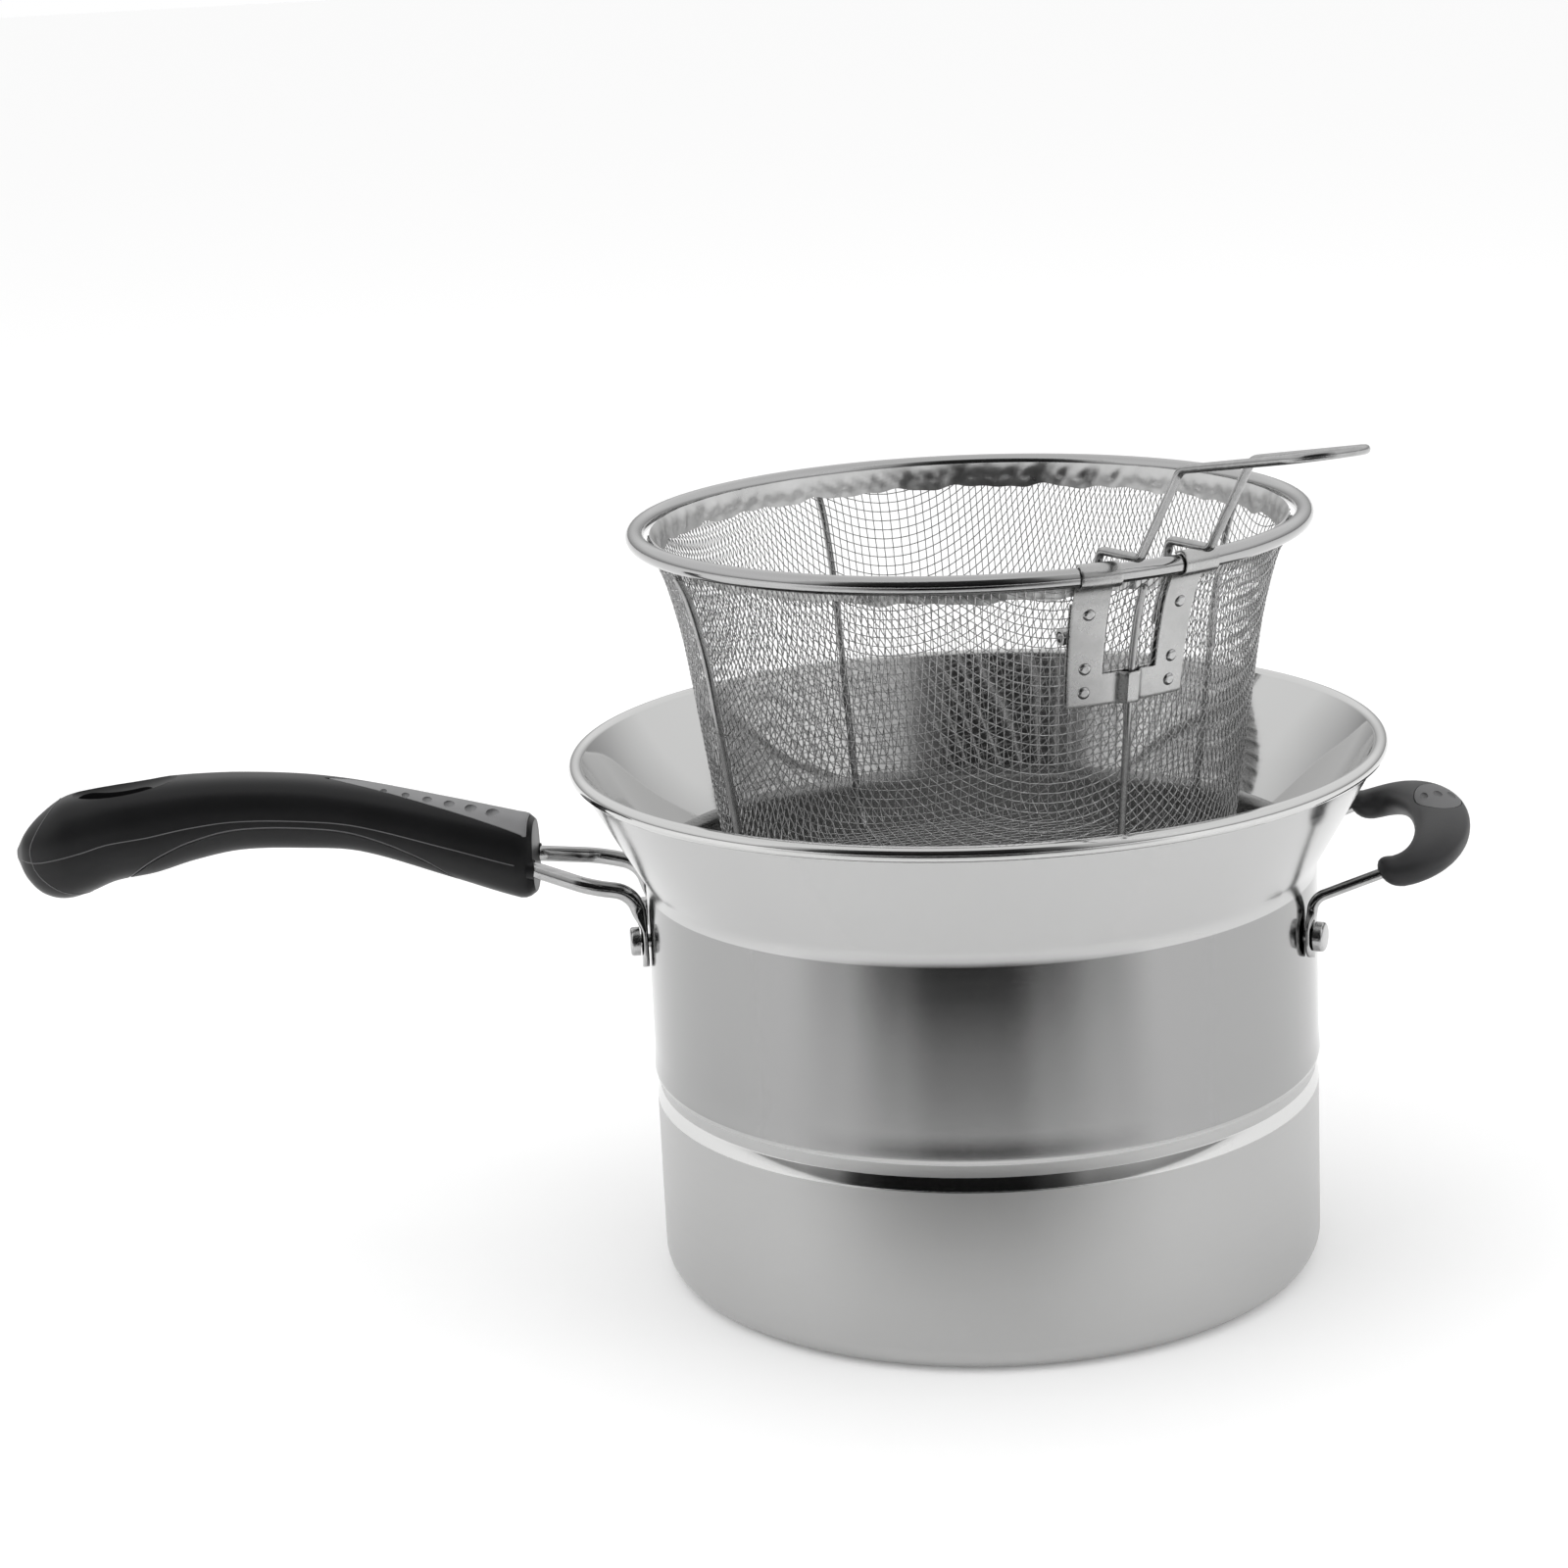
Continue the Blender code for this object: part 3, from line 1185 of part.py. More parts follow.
def carry(name, placement, carried):
    """An empty on a joint's axis that carries the pieces which move with it."""
    empty = bpy.data.objects.new(name, None)
    empty.empty_display_size = BARREL_LENGTH
    PARTS.objects.link(empty)
    empty.matrix_world = placement
    bpy.context.view_layer.update()
    for obj in carried:
        obj.parent = empty
        obj.matrix_parent_inverse = empty.matrix_world.inverted()
    return empty


POT = make_pot_body()
make_long_handle()
make_helper_handle()
add_part(applied(POT), "pot_body", steel("pot_body", 0.22))

PIN_HOLES = make_pin_holes()
BASKET = [
    make_rim(),
    make_cloth(),
    make_collar(),
    make_rib("basket_rib_long", 0.0, 0.0),
    make_rib("basket_rib_cross", math.radians(RIB_TURN_DEG), 2.0 * RIB_RADIUS + GAP),
    make_bracket(),
    make_backing(),
    *make_pins(),
]
LIFT = carry("basket_lift_axis", Matrix.Translation((0.0, 0.0, BASKET_HEIGHT)), BASKET)
HINGE_AXIS = radial_frame(BRACKET_AZIMUTH, HINGE_RADIUS, BASKET_HEIGHT - HINGE_DROP)
FOLD = carry("basket_handle_axis", HINGE_AXIS, [make_basket_handle()])
FOLD.parent = LIFT
FOLD.matrix_parent_inverse = LIFT.matrix_world.inverted()
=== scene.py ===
"""Looks of a flared stainless pot with a lift-out wire basket, in metres, +Z up."""

import math

import bmesh
import bpy
import numpy as np
from mathutils import Matrix, Vector


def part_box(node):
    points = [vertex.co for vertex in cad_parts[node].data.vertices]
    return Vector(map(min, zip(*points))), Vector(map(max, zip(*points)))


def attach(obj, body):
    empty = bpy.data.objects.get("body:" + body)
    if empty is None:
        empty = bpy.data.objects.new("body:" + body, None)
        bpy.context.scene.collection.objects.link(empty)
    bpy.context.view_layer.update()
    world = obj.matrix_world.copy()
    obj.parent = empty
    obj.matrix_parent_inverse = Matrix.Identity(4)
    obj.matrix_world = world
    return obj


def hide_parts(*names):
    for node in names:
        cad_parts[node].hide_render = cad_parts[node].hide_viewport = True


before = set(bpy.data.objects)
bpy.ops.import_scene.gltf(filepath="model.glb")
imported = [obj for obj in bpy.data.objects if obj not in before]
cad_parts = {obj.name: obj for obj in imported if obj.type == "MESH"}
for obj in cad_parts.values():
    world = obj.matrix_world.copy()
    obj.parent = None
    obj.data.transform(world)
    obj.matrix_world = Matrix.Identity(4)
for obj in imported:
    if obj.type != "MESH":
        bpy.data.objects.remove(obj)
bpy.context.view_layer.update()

# Camera, solved from the pot's round edges; the picture is square
PICTURE_PX = 1600
FOCAL_PX = 3558.28
SENSOR_MM = 36.0
CAMERA_AT = (0.0, -0.90507, 0.36980)
CAMERA_YAW = -0.0570
CAMERA_PITCH = 0.2558
CAMERA_ROLL = -0.0488

# Pot
POT_LOW, POT_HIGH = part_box("pot_body")
RIM_ROLL = 0.0020
RIM_RADIUS = POT_HIGH.x - RIM_ROLL
RIM_HEIGHT = POT_HIGH.z - RIM_ROLL
BODY_RADIUS = 0.0900
NECK_HEIGHT = 0.1103
WALL = 0.0010
NECK_BEND = 0.0022
BASE_CORNER = 0.0067
GROOVE_HIGH = 0.0572
GROOVE_LOW = 0.0494
GROOVE_DEPTH = 0.0008
GROOVE_EDGE = 0.0008
GROOVE_SOFT = 0.0002
GROOVE_BAND_LOW = 0.0528
# Swell of the wall above the groove, then the stepped lip under it: outwards and up
SHOULDER = (
    (0.0, 0.0075),
    (0.00002, 0.0060),
    (0.00008, 0.0045),
    (0.00018, 0.0030),
    (0.00027, 0.0018),
    (0.00032, 0.0010),
    (0.00034, 0.0005),
)
GROOVE_LIP = (
    (0.00030, 0.0003),
    (0.00012, 0.0),
    (0.00010, -0.0002),
    (0.00006, -0.0007),
    (-0.00080, -0.0010),
    (-0.00080, -0.0011),
)
POT_STEPS = 192

# Basket
BASKET_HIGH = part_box("basket_rim")[1]
RIM_TUBE = 0.0024
BASKET_RADIUS = BASKET_HIGH.x - RIM_TUBE
BASKET_HEIGHT = 0.2031
BASKET_DEPTH = 0.0990
CLOTH_TOP = 0.0849
CLOTH_THICKNESS = 0.0007
CLOTH_CORNER = 0.0080
CLOTH_STEPS = 80
CLOTH_CORNER_STEPS = 24
CLOTH_FOOT = 13
CLOTH_SHARES = (
    (0.000, 1.000),
    (0.040, 0.987),
    (0.100, 0.956),
    (0.180, 0.929),
    (0.290, 0.901),
    (0.510, 0.864),
    (0.840, 0.810),
    (0.950, 0.793),
)
WEAVE_PITCH = 0.00258
WEAVE_WIRE = 0.00015
WEAVE_LIFT = 0.00013
WEAVE_BEND = 0.0120
WEAVE_SIDES = 5
WEAVE_AZIMUTH = math.radians(106.0)
RIPPLE = 0.00028
RIPPLE_LENGTH = 0.0036
GAP = 0.0003
RIB_RADIUS = 0.0010
RIM_STEPS = 160
COLLAR_DROP = 0.0070
COLLAR_STEPS = 440
COLLAR_ROWS = 9
COLLAR_SHEET = 0.0004
COLLAR_GAP = 0.0003
COLLAR_WAVE = 0.0008
COLLAR_SWELL = 0.0007
COLLAR_CREASE = 0.00020
BRACKET_AZIMUTH = math.radians(-60.3)
BRACKET_SHEET = 0.0005
BRACKET_WIDTH = 0.0382
BRACKET_LEG_WIDTH = 0.0100
BRACKET_DROP = 0.0349
BRACKET_BAR = 0.0081

# Shared by several pieces
UP = Vector((0.0, 0.0, 1.0))
BEND_STEPS = 10
LATHE_LINES = 2600.0


class Graph:
    """The nodes of a material or the world, added one line at a time."""

    def __init__(self, owner):
        owner.use_nodes = True
        self.tree = owner.node_tree

    def feed(self, target, value):
        """Links a socket to another's output, or sets it to a plain value."""
        if isinstance(value, bpy.types.NodeSocket):
            self.tree.links.new(value, target)
        else:
            target.default_value = value

    def add(self, kind, inputs, out=0, **settings):
        """A new node's output, or nothing where the node has none."""
        node = self.tree.nodes.new(kind)
        for key, value in settings.items():
            setattr(node, key, value)
        for key, value in inputs.items():
            self.feed(node.inputs[key], value)
        return node.outputs[out] if node.outputs else None

    def math(self, operation, first, second=0.0):
        return self.add("ShaderNodeMath", {0: first, 1: second}, operation=operation)

    def swing(self, value, amount):
        """A noise between 0 and 1 as a change up and down by half an amount."""
        return self.math("MULTIPLY", self.math("SUBTRACT", value, 0.5), amount)

    def noise(self, vector, scale, detail=2.0, rough=0.5):
        inputs = {"Vector": vector, "Scale": scale, "Detail": detail, "Roughness": rough}
        return self.add("ShaderNodeTexNoise", inputs)

    def ramp(self, value, stops, interpolation="LINEAR"):
        """A value looked up in stops of (place, grey or colour)."""
        out = self.add("ShaderNodeValToRGB", {0: value})
        blend = out.node.color_ramp
        blend.interpolation = interpolation
        for index, (place, grey) in enumerate(stops):
            if index < 2:
                element = blend.elements[index]
                element.position = place
            else:
                element = blend.elements.new(place)
            element.color = (*grey, 1.0) if isinstance(grey, tuple) else (grey,) * 3 + (1.0,)
        return out


class Finish(Graph):
    """A material on Blender's standard shader."""

    def __init__(self, name, colour, roughness, metallic):
        self.material = bpy.data.materials.new(name)
        super().__init__(self.material)
        self.shader = self.tree.nodes["Principled BSDF"]
        self.set("Base Color", (*colour, 1.0))
        self.set("Roughness", roughness)
        self.set("Metallic", metallic)

    def set(self, socket, value):
        self.feed(self.shader.inputs[socket], value)

    def axes(self):
        """A point in the row's frame, then its three coordinates."""
        place = self.add("ShaderNodeTexCoord", {}, out=3)
        parts = self.add("ShaderNodeSeparateXYZ", {0: place}).node.outputs
        return place, parts[0], parts[1], parts[2]

    def bump(self, height, strength, distance, **under):
        inputs = {"Height": height, "Strength": strength, "Distance": distance, **under}
        self.set("Normal", self.add("ShaderNodeBump", inputs))


def turned_steel(name, colour, roughness, streak, blotch=0.05, shine=0.0, wave=0.0):
    """Steel finished on a lathe: fine rings round Z, faint larger clouds and a slight wave."""
    graph = Finish(name, colour, roughness, 1.0)
    place, x, y, z = graph.axes()
    angle = graph.math("ARCTAN2", y, x)
    rings = graph.add(
        "ShaderNodeCombineXYZ",
        {0: graph.math("MULTIPLY", angle, 2.2), 1: 0.0, 2: graph.math("MULTIPLY", z, LATHE_LINES)},
    )
    fine = graph.noise(rings, 1.0, 3.0, 0.6)
    clouds = graph.noise(place, 26.0, 3.0)
    change = graph.math("ADD", graph.swing(fine, streak), graph.swing(clouds, blotch))
    graph.set("Roughness", graph.math("ADD", change, roughness))
    under = {}
    if wave:
        swell = {"Height": graph.noise(place, 12.0, 1.0, 0.3), "Strength": 1.0, "Distance": wave}
        under = {"Normal": graph.add("ShaderNodeBump", swell)}
    graph.bump(fine, streak, 0.00002, **under)
    if shine:
        graph.set("Anisotropic", shine)
        graph.set("Anisotropic Rotation", 0.25)
        graph.set("Tangent", graph.add("ShaderNodeTangent", {}, direction_type="RADIAL", axis="Z"))
    return graph.material


def drawn_steel(name, colour, roughness, scale=420.0, depth=0.00004, stretch=1.0):
    """Bright wire or bar with faint drawing marks, which may be stretched along X, and clouds."""
    graph = Finish(name, colour, roughness, 1.0)
    place, x, y, z = graph.axes()
    if stretch != 1.0:
        drawn = {0: graph.math("MULTIPLY", x, stretch), 1: y, 2: z}
        place = graph.add("ShaderNodeCombineXYZ", drawn)
    marks = graph.noise(place, scale, 4.0, 0.65)
    graph.set("Roughness", graph.math("ADD", graph.swing(marks, 0.22), roughness))
    darker = tuple(c * 0.80 for c in colour)
    graph.set("Base Color", graph.ramp(marks, ((0.30, darker), (0.70, colour))))
    graph.bump(marks, 0.12, depth)
    return graph.material


def moulded(name, colour, roughness, grain=1500.0, depth=0.00003, gloss=0.5):
    """Satin moulded plastic with a fine spark-eroded grain."""
    graph = Finish(name, colour, roughness, 0.0)
    graph.set("Specular IOR Level", gloss)
    place = graph.axes()[0]
    fine = graph.noise(place, grain, 2.0)
    broad = graph.noise(place, 60.0, 3.0)
    graph.set("Roughness", graph.math("ADD", graph.swing(broad, 0.12), roughness))
    lighter = tuple(c * 1.35 for c in colour)
    graph.set("Base Color", graph.ramp(broad, ((0.25, colour), (0.80, lighter))))
    graph.bump(fine, 0.35, depth)
    return graph.material


def finish_mesh(obj, material, body, *nodes, angle=35.0):
    """Smooth shading, the material, and the body and nodes that the piece stands for."""
    if material:
        obj.data.materials.clear()
        obj.data.materials.append(material)
    obj.data.shade_smooth()
    obj.data.set_sharp_from_angle(angle=math.radians(angle))
    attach(obj, body)
    if nodes:
        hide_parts(*nodes)
    return obj


def linked(name, data):
    """A new object in the scene."""
    obj = bpy.data.objects.new(name, data)
    bpy.context.scene.collection.objects.link(obj)
    return obj


def mesh_object(name, vertices, faces):
    """A new object in the scene from plain lists."""
    mesh = bpy.data.meshes.new(name)
    mesh.from_pydata([tuple(v) for v in vertices], [], faces)
    return linked(name, mesh)


def tidy_normals(obj, weld=True):
    """The same object with its faces pointing outwards, its doubles welded and nothing loose."""
    work = bmesh.new()
    work.from_mesh(obj.data)
    if weld:
        bmesh.ops.remove_doubles(work, verts=work.verts, dist=GAP * 0.02)
    loose = [vertex for vertex in work.verts if not vertex.link_faces]
    if loose:
        bmesh.ops.delete(work, geom=loose, context="VERTS")
    bmesh.ops.recalc_face_normals(work, faces=work.faces)
    work.to_mesh(obj.data)
    work.free()
    return obj


def applied(obj):
    """The same object with its modifiers worked into its mesh."""
    bpy.context.view_layer.update()
    evaluated = obj.evaluated_get(bpy.context.evaluated_depsgraph_get())
    mesh = bpy.data.meshes.new_from_object(evaluated)
    obj.modifiers.clear()
    obj.data = mesh
    return obj


def thickened(obj, thickness):
    """The same open sheet with a modifier that gives it a thickness to both sides."""
    sheet = obj.modifiers.new("sheet", "SOLIDIFY")
    sheet.thickness = thickness
    sheet.offset = 0.0
    return obj


def boolean(obj, other, operation="DIFFERENCE"):
    """Cuts, joins or crosses obj with other, and removes other."""
    modifier = obj.modifiers.new(operation, "BOOLEAN")
    modifier.operation = operation
    modifier.solver = "EXACT"
    modifier.object = other
    applied(obj)
    bpy.data.objects.remove(other, do_unlink=True)
    return obj


def turns(count):
    """Evenly spaced angles once round."""
    return [2.0 * math.pi * i / count for i in range(count)]


def polar(radius, angle):
    """A point of a circle about the origin."""
    return radius * math.cos(angle), radius * math.sin(angle)


def lathe(name, profile, steps, closed=True):
    """A profile of (radius, height) points turned about Z, with one vertex where it meets Z."""
    vertices = []
    rows = []
    for radius, height in profile:
        if radius < GAP * 0.1:
            rows.append([len(vertices)] * steps)
            vertices.append((0.0, 0.0, height))
            continue
        rows.append(list(range(len(vertices), len(vertices) + steps)))
        vertices += [(*polar(radius, angle), height) for angle in turns(steps)]
    faces = []
    last = len(rows) if closed else len(rows) - 1
    for k in range(last):
        row, following = rows[k], rows[(k + 1) % len(rows)]
        if row[0] == row[1] and following[0] == following[1]:
            continue
        for i in range(steps):
            j = (i + 1) % steps
            corners = [row[i], following[i], following[j], row[j]]
            faces.append(tuple(dict.fromkeys(corners)))
    return mesh_object(name, vertices, faces)


def arc(centre, radius, start, end, steps):
    """Points of a part of a circle, from one angle in degrees to another."""
    points = []
    for step in range(steps + 1):
        x, y = polar(radius, math.radians(start + (end - start) * step / steps))
        points.append((centre[0] + x, centre[1] + y))
    return points


def outward(azimuth):
    """The level direction away from the pot's axis."""
    return Vector((*polar(1.0, azimuth), 0.0))


def around(azimuth):
    """The level direction round the pot."""
    return Vector((-math.sin(azimuth), math.cos(azimuth), 0.0))


def squared(angle, power):
    """A point of a unit circle that a power above 2 makes squarer."""
    across, up = math.cos(angle), math.sin(angle)
    return (
        math.copysign(abs(across) ** (2.0 / power), across),
        math.copysign(abs(up) ** (2.0 / power), up),
    )


def rounded(points, bends):
    """Points of a path whose inner corners are rounded, each to its own radius."""
    points = [Vector(point) for point in points]
    path = [points[0]]
    for before, corner, after, bend in zip(points, points[1:], points[2:], bends):
        towards = (before - corner).normalized()
        away = (after - corner).normalized()
        half = towards.angle(away) / 2.0
        if half > math.pi / 2.0 - 0.01:
            path.append(corner)
            continue
        reach = min((before - corner).length, (after - corner).length) * 0.49
        run = min(bend / math.tan(half), reach)
        bend = run * math.tan(half)
        centre = corner + (towards + away).normalized() * (bend / math.sin(half))
        start = corner + towards * run - centre
        end = corner + away * run - centre
        for step in range(BEND_STEPS + 1):
            path.append(centre + start.slerp(end, step / BEND_STEPS) * start.length)
    path.append(points[-1])
    return path


def ways(path):
    """The direction of a path at each of its points."""
    for before, after in zip([path[0]] + path, path[1:] + [path[-1]]):
        yield (after - before).normalized()


def sweep(name, points, sizes, side, count, power):
    """A solid along a path; sizes are (half width along side, half thickness) at each point."""
    rings = []
    for point, along, (width, depth) in zip(points, ways(points), sizes):
        wide = (side - along * side.dot(along)).normalized()
        thick = along.cross(wide).normalized()
        ring = []
        for angle in turns(count):
            x, y = squared(angle, power)
            ring.append(point + wide * (width * x) + thick * (depth * y))
        rings.append(ring)
    return loft(name, rings)


def loft(name, rings):
    """A closed solid through rings of the same number of points."""
    vertices = [vertex for ring in rings for vertex in ring]
    count = len(rings[0])
    faces = []
    for k in range(len(rings) - 1):
        for i in range(count):
            j = (i + 1) % count
            faces.append((k * count + i, k * count + j, (k + 1) * count + j, (k + 1) * count + i))
    faces.append(tuple(reversed(range(count))))
    faces.append(tuple((len(rings) - 1) * count + i for i in range(count)))
    return tidy_normals(mesh_object(name, vertices, faces))


def wire(name, points, radius, count):
    """A round wire of even thickness with softly rounded ends."""
    points = [Vector(point) for point in points]
    first = (points[0] - points[1]).normalized()
    last = (points[-1] - points[-2]).normalized()
    shares = (0.0, 0.45, 0.8)
    ends = [radius * math.sqrt(1.0 - (1.0 - share) ** 2) + radius * 0.05 for share in shares]
    path = [points[0] - first * radius * share for share in shares] + points[1:-1]
    path += [points[-1] - last * radius * share for share in reversed(shares)]
    return tube(name, path, ends + [radius] * (len(points) - 2) + ends[::-1], count)


def tube(name, path, radii, count):
    """A tube whose rings keep their turn along the path, so it never twists."""
    rings = []
    wide = None
    for point, along, radius in zip(path, ways(path), radii):
        if wide is None:
            wide = along.orthogonal().normalized()
        wide = (wide - along * wide.dot(along)).normalized()
        thick = along.cross(wide)
        ring = []
        for angle in turns(count):
            ring.append(point + (wide * math.cos(angle) + thick * math.sin(angle)) * radius)
        rings.append(ring)
    return loft(name, rings)


def placed(x_axis, y_axis, z_axis, at):
    """The matrix of a frame from its axes and its origin."""
    place = Matrix.Identity(4)
    for column, axis in enumerate((x_axis, y_axis, z_axis, at)):
        place.col[column].xyz = axis
    return place


def radial(azimuth, radius, height, lean=0.0):
    """Local X runs round the pot, local Y is up and local Z points away from the axis."""
    place = placed(around(azimuth), UP, outward(azimuth), (*polar(radius, azimuth), height))
    return place @ Matrix.Rotation(lean, 4, "X")


# Materials
BODY_SATIN = turned_steel("pot_satin", (0.50, 0.50, 0.497), 0.36, 0.10, shine=0.7)
BODY_BRUSHED = turned_steel("pot_brushed", (0.345, 0.345, 0.344), 0.13, 0.08, shine=0.2)
FLARE_BRUSHED = turned_steel("pot_flare_outside", (0.53, 0.53, 0.528), 0.18, 0.12, shine=0.2)
LIP_STEEL = turned_steel("groove_lip", (0.50, 0.50, 0.497), 0.16, 0.08)
POLISHED = turned_steel("pot_polished", (0.62, 0.62, 0.615), 0.06, 0.03, blotch=0.03)
FLARE_MIRROR = turned_steel(
    "pot_flare_inside", (0.60, 0.60, 0.596), 0.05, 0.03, blotch=0.03, wave=0.0062
)
INSIDE = turned_steel("pot_inside", (0.42, 0.42, 0.418), 0.20, 0.10)
RIM_STEEL = turned_steel("basket_rim_polish", (0.45, 0.45, 0.45), 0.11, 0.06)
WIRE_STEEL = drawn_steel("drawn_wire", (0.44, 0.44, 0.44), 0.20)
ROD_STEEL = drawn_steel("drawn_rod", (0.48, 0.48, 0.48), 0.10, 700.0, stretch=0.06)
CLOTH_STEEL = drawn_steel("woven_wire", (0.54, 0.54, 0.54), 0.24)
SHEET_STEEL = drawn_steel("stamped_sheet", (0.52, 0.52, 0.517), 0.26, 110.0, 0.00016)
COLLAR_STEEL = drawn_steel("collar_sheet", (0.66, 0.66, 0.657), 0.30, 70.0, 0.0009)
RIVET_STEEL = drawn_steel("rivet_steel", (0.54, 0.54, 0.54), 0.24)
GRIP_BLACK = moulded("grip_black", (0.006, 0.006, 0.0065), 0.36, gloss=0.28)
PAD_BLACK = moulded("finger_pad_black", (0.009, 0.009, 0.0095), 0.46, gloss=0.28)
INLAY_GREY = moulded("inlay_grey", (0.165, 0.165, 0.168), 0.44)
SEAM_GREY = moulded("seam_grey", (0.085, 0.085, 0.087), 0.42)
PATCH_GREY = moulded("helper_patch_grey", (0.078, 0.078, 0.080), 0.46, 700.0, 0.00008, 0.4)
HELPER_BLACK = moulded("helper_black", (0.018, 0.018, 0.019), 0.46, 900.0, 0.00006, 0.35)


def make_pot():
    """The body, turned as one skin, with a finish for each stretch of its profile."""
    flare = math.atan2(RIM_RADIUS - BODY_RADIUS, RIM_HEIGHT - NECK_HEIGHT)
    start = -math.degrees(flare)
    bead = arc((RIM_RADIUS, RIM_HEIGHT), RIM_ROLL, start + 180.0, start - 70.0, 26)
    slope = math.tan(flare)
    neck = []
    for step in range(9):
        rise = NECK_BEND * (1.0 - 2.0 * step / 8.0)
        swell = slope * (rise + NECK_BEND) ** 2 / (4.0 * NECK_BEND)
        neck.append((BODY_RADIUS + swell, NECK_HEIGHT + rise))
    groove_in = BODY_RADIUS - GROOVE_DEPTH
    inside = BODY_RADIUS - WALL
    slant = [
        (groove_in + 0.00006, GROOVE_BAND_LOW),
        (BODY_RADIUS - 0.00008, GROOVE_LOW + GROOVE_SOFT),
        (BODY_RADIUS, GROOVE_LOW - GROOVE_SOFT),
    ]
    corner_centre = (BODY_RADIUS - BASE_CORNER, BASE_CORNER)
    corner = arc(corner_centre, BASE_CORNER, 0.0, -90.0, 14)
    inner = arc(corner_centre, BASE_CORNER - WALL, -90.0, 0.0, 12)
    inner += [
        (inside, GROOVE_LOW),
        (groove_in - WALL, GROOVE_LOW + GROOVE_EDGE),
        (groove_in - WALL, GROOVE_HIGH - GROOVE_EDGE),
        (inside, GROOVE_HIGH),
    ]
    inner += [(radius - WALL, height + WALL * slope / 2.0) for radius, height in reversed(neck)]
    profile, finishes = bead[:1], []
    # Each stretch goes on from the end of the last, and the last one closes the ring
    for points, finish in (
        (bead[1:], POLISHED),
        (neck, FLARE_BRUSHED),
        ([(BODY_RADIUS + swell, GROOVE_HIGH + above) for swell, above in SHOULDER], BODY_BRUSHED),
        ([(BODY_RADIUS + step, GROOVE_HIGH + above) for step, above in GROOVE_LIP], LIP_STEEL),
        ([(groove_in, GROOVE_BAND_LOW + GROOVE_SOFT)], BODY_SATIN),
        (slant, POLISHED),
        (corner + [(0.0, 0.0), (0.0, WALL)], BODY_SATIN),
        (inner, INSIDE),
        (bead[:1], FLARE_MIRROR),
    ):
        profile += points
        finishes += [finish] * len(points)
    profile.pop()
    pot = lathe("pot", profile, POT_STEPS)
    materials = list(dict.fromkeys(finishes))
    for material in materials:
        pot.data.materials.append(material)
    bands = []
    for k, finish in enumerate(finishes):
        if profile[k][0] > GAP or profile[(k + 1) % len(profile)][0] > GAP:
            bands += [materials.index(finish)] * POT_STEPS
    pot.data.polygons.foreach_set("material_index", bands)
    finish_mesh(tidy_normals(pot, weld=False), None, "pot", "pot_body", angle=50.0)


def smooth_rows(rows, share):
    """A row between the rows of a table of shares, on a smooth curve through them."""
    last = len(rows) - 1
    k = 0
    while k < last - 1 and share > rows[k + 1][0]:
        k += 1
    step = rows[k + 1][0] - rows[k][0]
    t = (share - rows[k][0]) / step
    values = []
    for column in range(1, len(rows[0])):
        slopes = []
        for i in (k, k + 1):
            low, high = max(i - 1, 0), min(i + 1, last)
            slopes.append((rows[high][column] - rows[low][column]) / (rows[high][0] - rows[low][0]))
        a, b = rows[k][column], rows[k + 1][column]
        values.append(
            a * (1.0 + 2.0 * t) * (1.0 - t) ** 2
            + b * t * t * (3.0 - 2.0 * t)
            + step * (slopes[0] * t * (1.0 - t) ** 2 + slopes[1] * t * t * (t - 1.0))
        )
    return values


def cloth_profile():
    """The cloth's middle line from the bottom's centre to the rim, its directions and lengths."""
    corner_share = 1.0 - CLOTH_CORNER / BASKET_DEPTH
    wall = []
    for step in range(CLOTH_STEPS + 1):
        share = corner_share * (1.0 - step / CLOTH_STEPS)
        radius = CLOTH_TOP * smooth_rows(CLOTH_SHARES, share)[0] - CLOTH_THICKNESS / 2.0
        wall.append((radius, BASKET_HEIGHT - share * BASKET_DEPTH))
    foot = (wall[0][0] - CLOTH_CORNER, BASKET_HEIGHT - BASKET_DEPTH + CLOTH_CORNER)
    lean = math.degrees(math.atan2(wall[1][0] - wall[0][0], wall[1][1] - wall[0][1]))
    corner = arc(foot, CLOTH_CORNER - CLOTH_THICKNESS / 2.0, -90.0, -lean, CLOTH_CORNER_STEPS)
    points = np.array([(0.0, corner[0][1])] + corner + wall[1:])
    run = np.gradient(points, axis=0)
    run /= np.hypot(*run.T)[:, None]
    return points, run, np.concatenate([[0.0], np.cumsum(np.hypot(*np.diff(points, axis=0).T))])


def flat_place(way, round_it, foot):
    """Where a spot of the pressed cup lay in the flat net, along the net's second axis.

    The floor keeps its polar place. Up the wall the net stays square along its two axes and
    shears into tall narrow cells half way between them.
    """
    sine, cosine = np.sin(round_it), np.cos(round_it)
    up = np.maximum(way - foot, 0.0)
    bend = WEAVE_BEND * (1.0 - np.exp(-up / WEAVE_BEND))
    slope = np.exp(-up / WEAVE_BEND)
    place = np.minimum(way, foot) * sine + up * sine**2 + bend * (sine - sine**2)
    by_way = np.where(way < foot, sine, sine**2 + slope * (sine - sine**2))
    by_turn = np.minimum(way, foot) * cosine + 2.0 * up * sine * cosine
    by_turn += bend * (cosine - 2.0 * sine * cosine)
    return place, by_way, by_turn


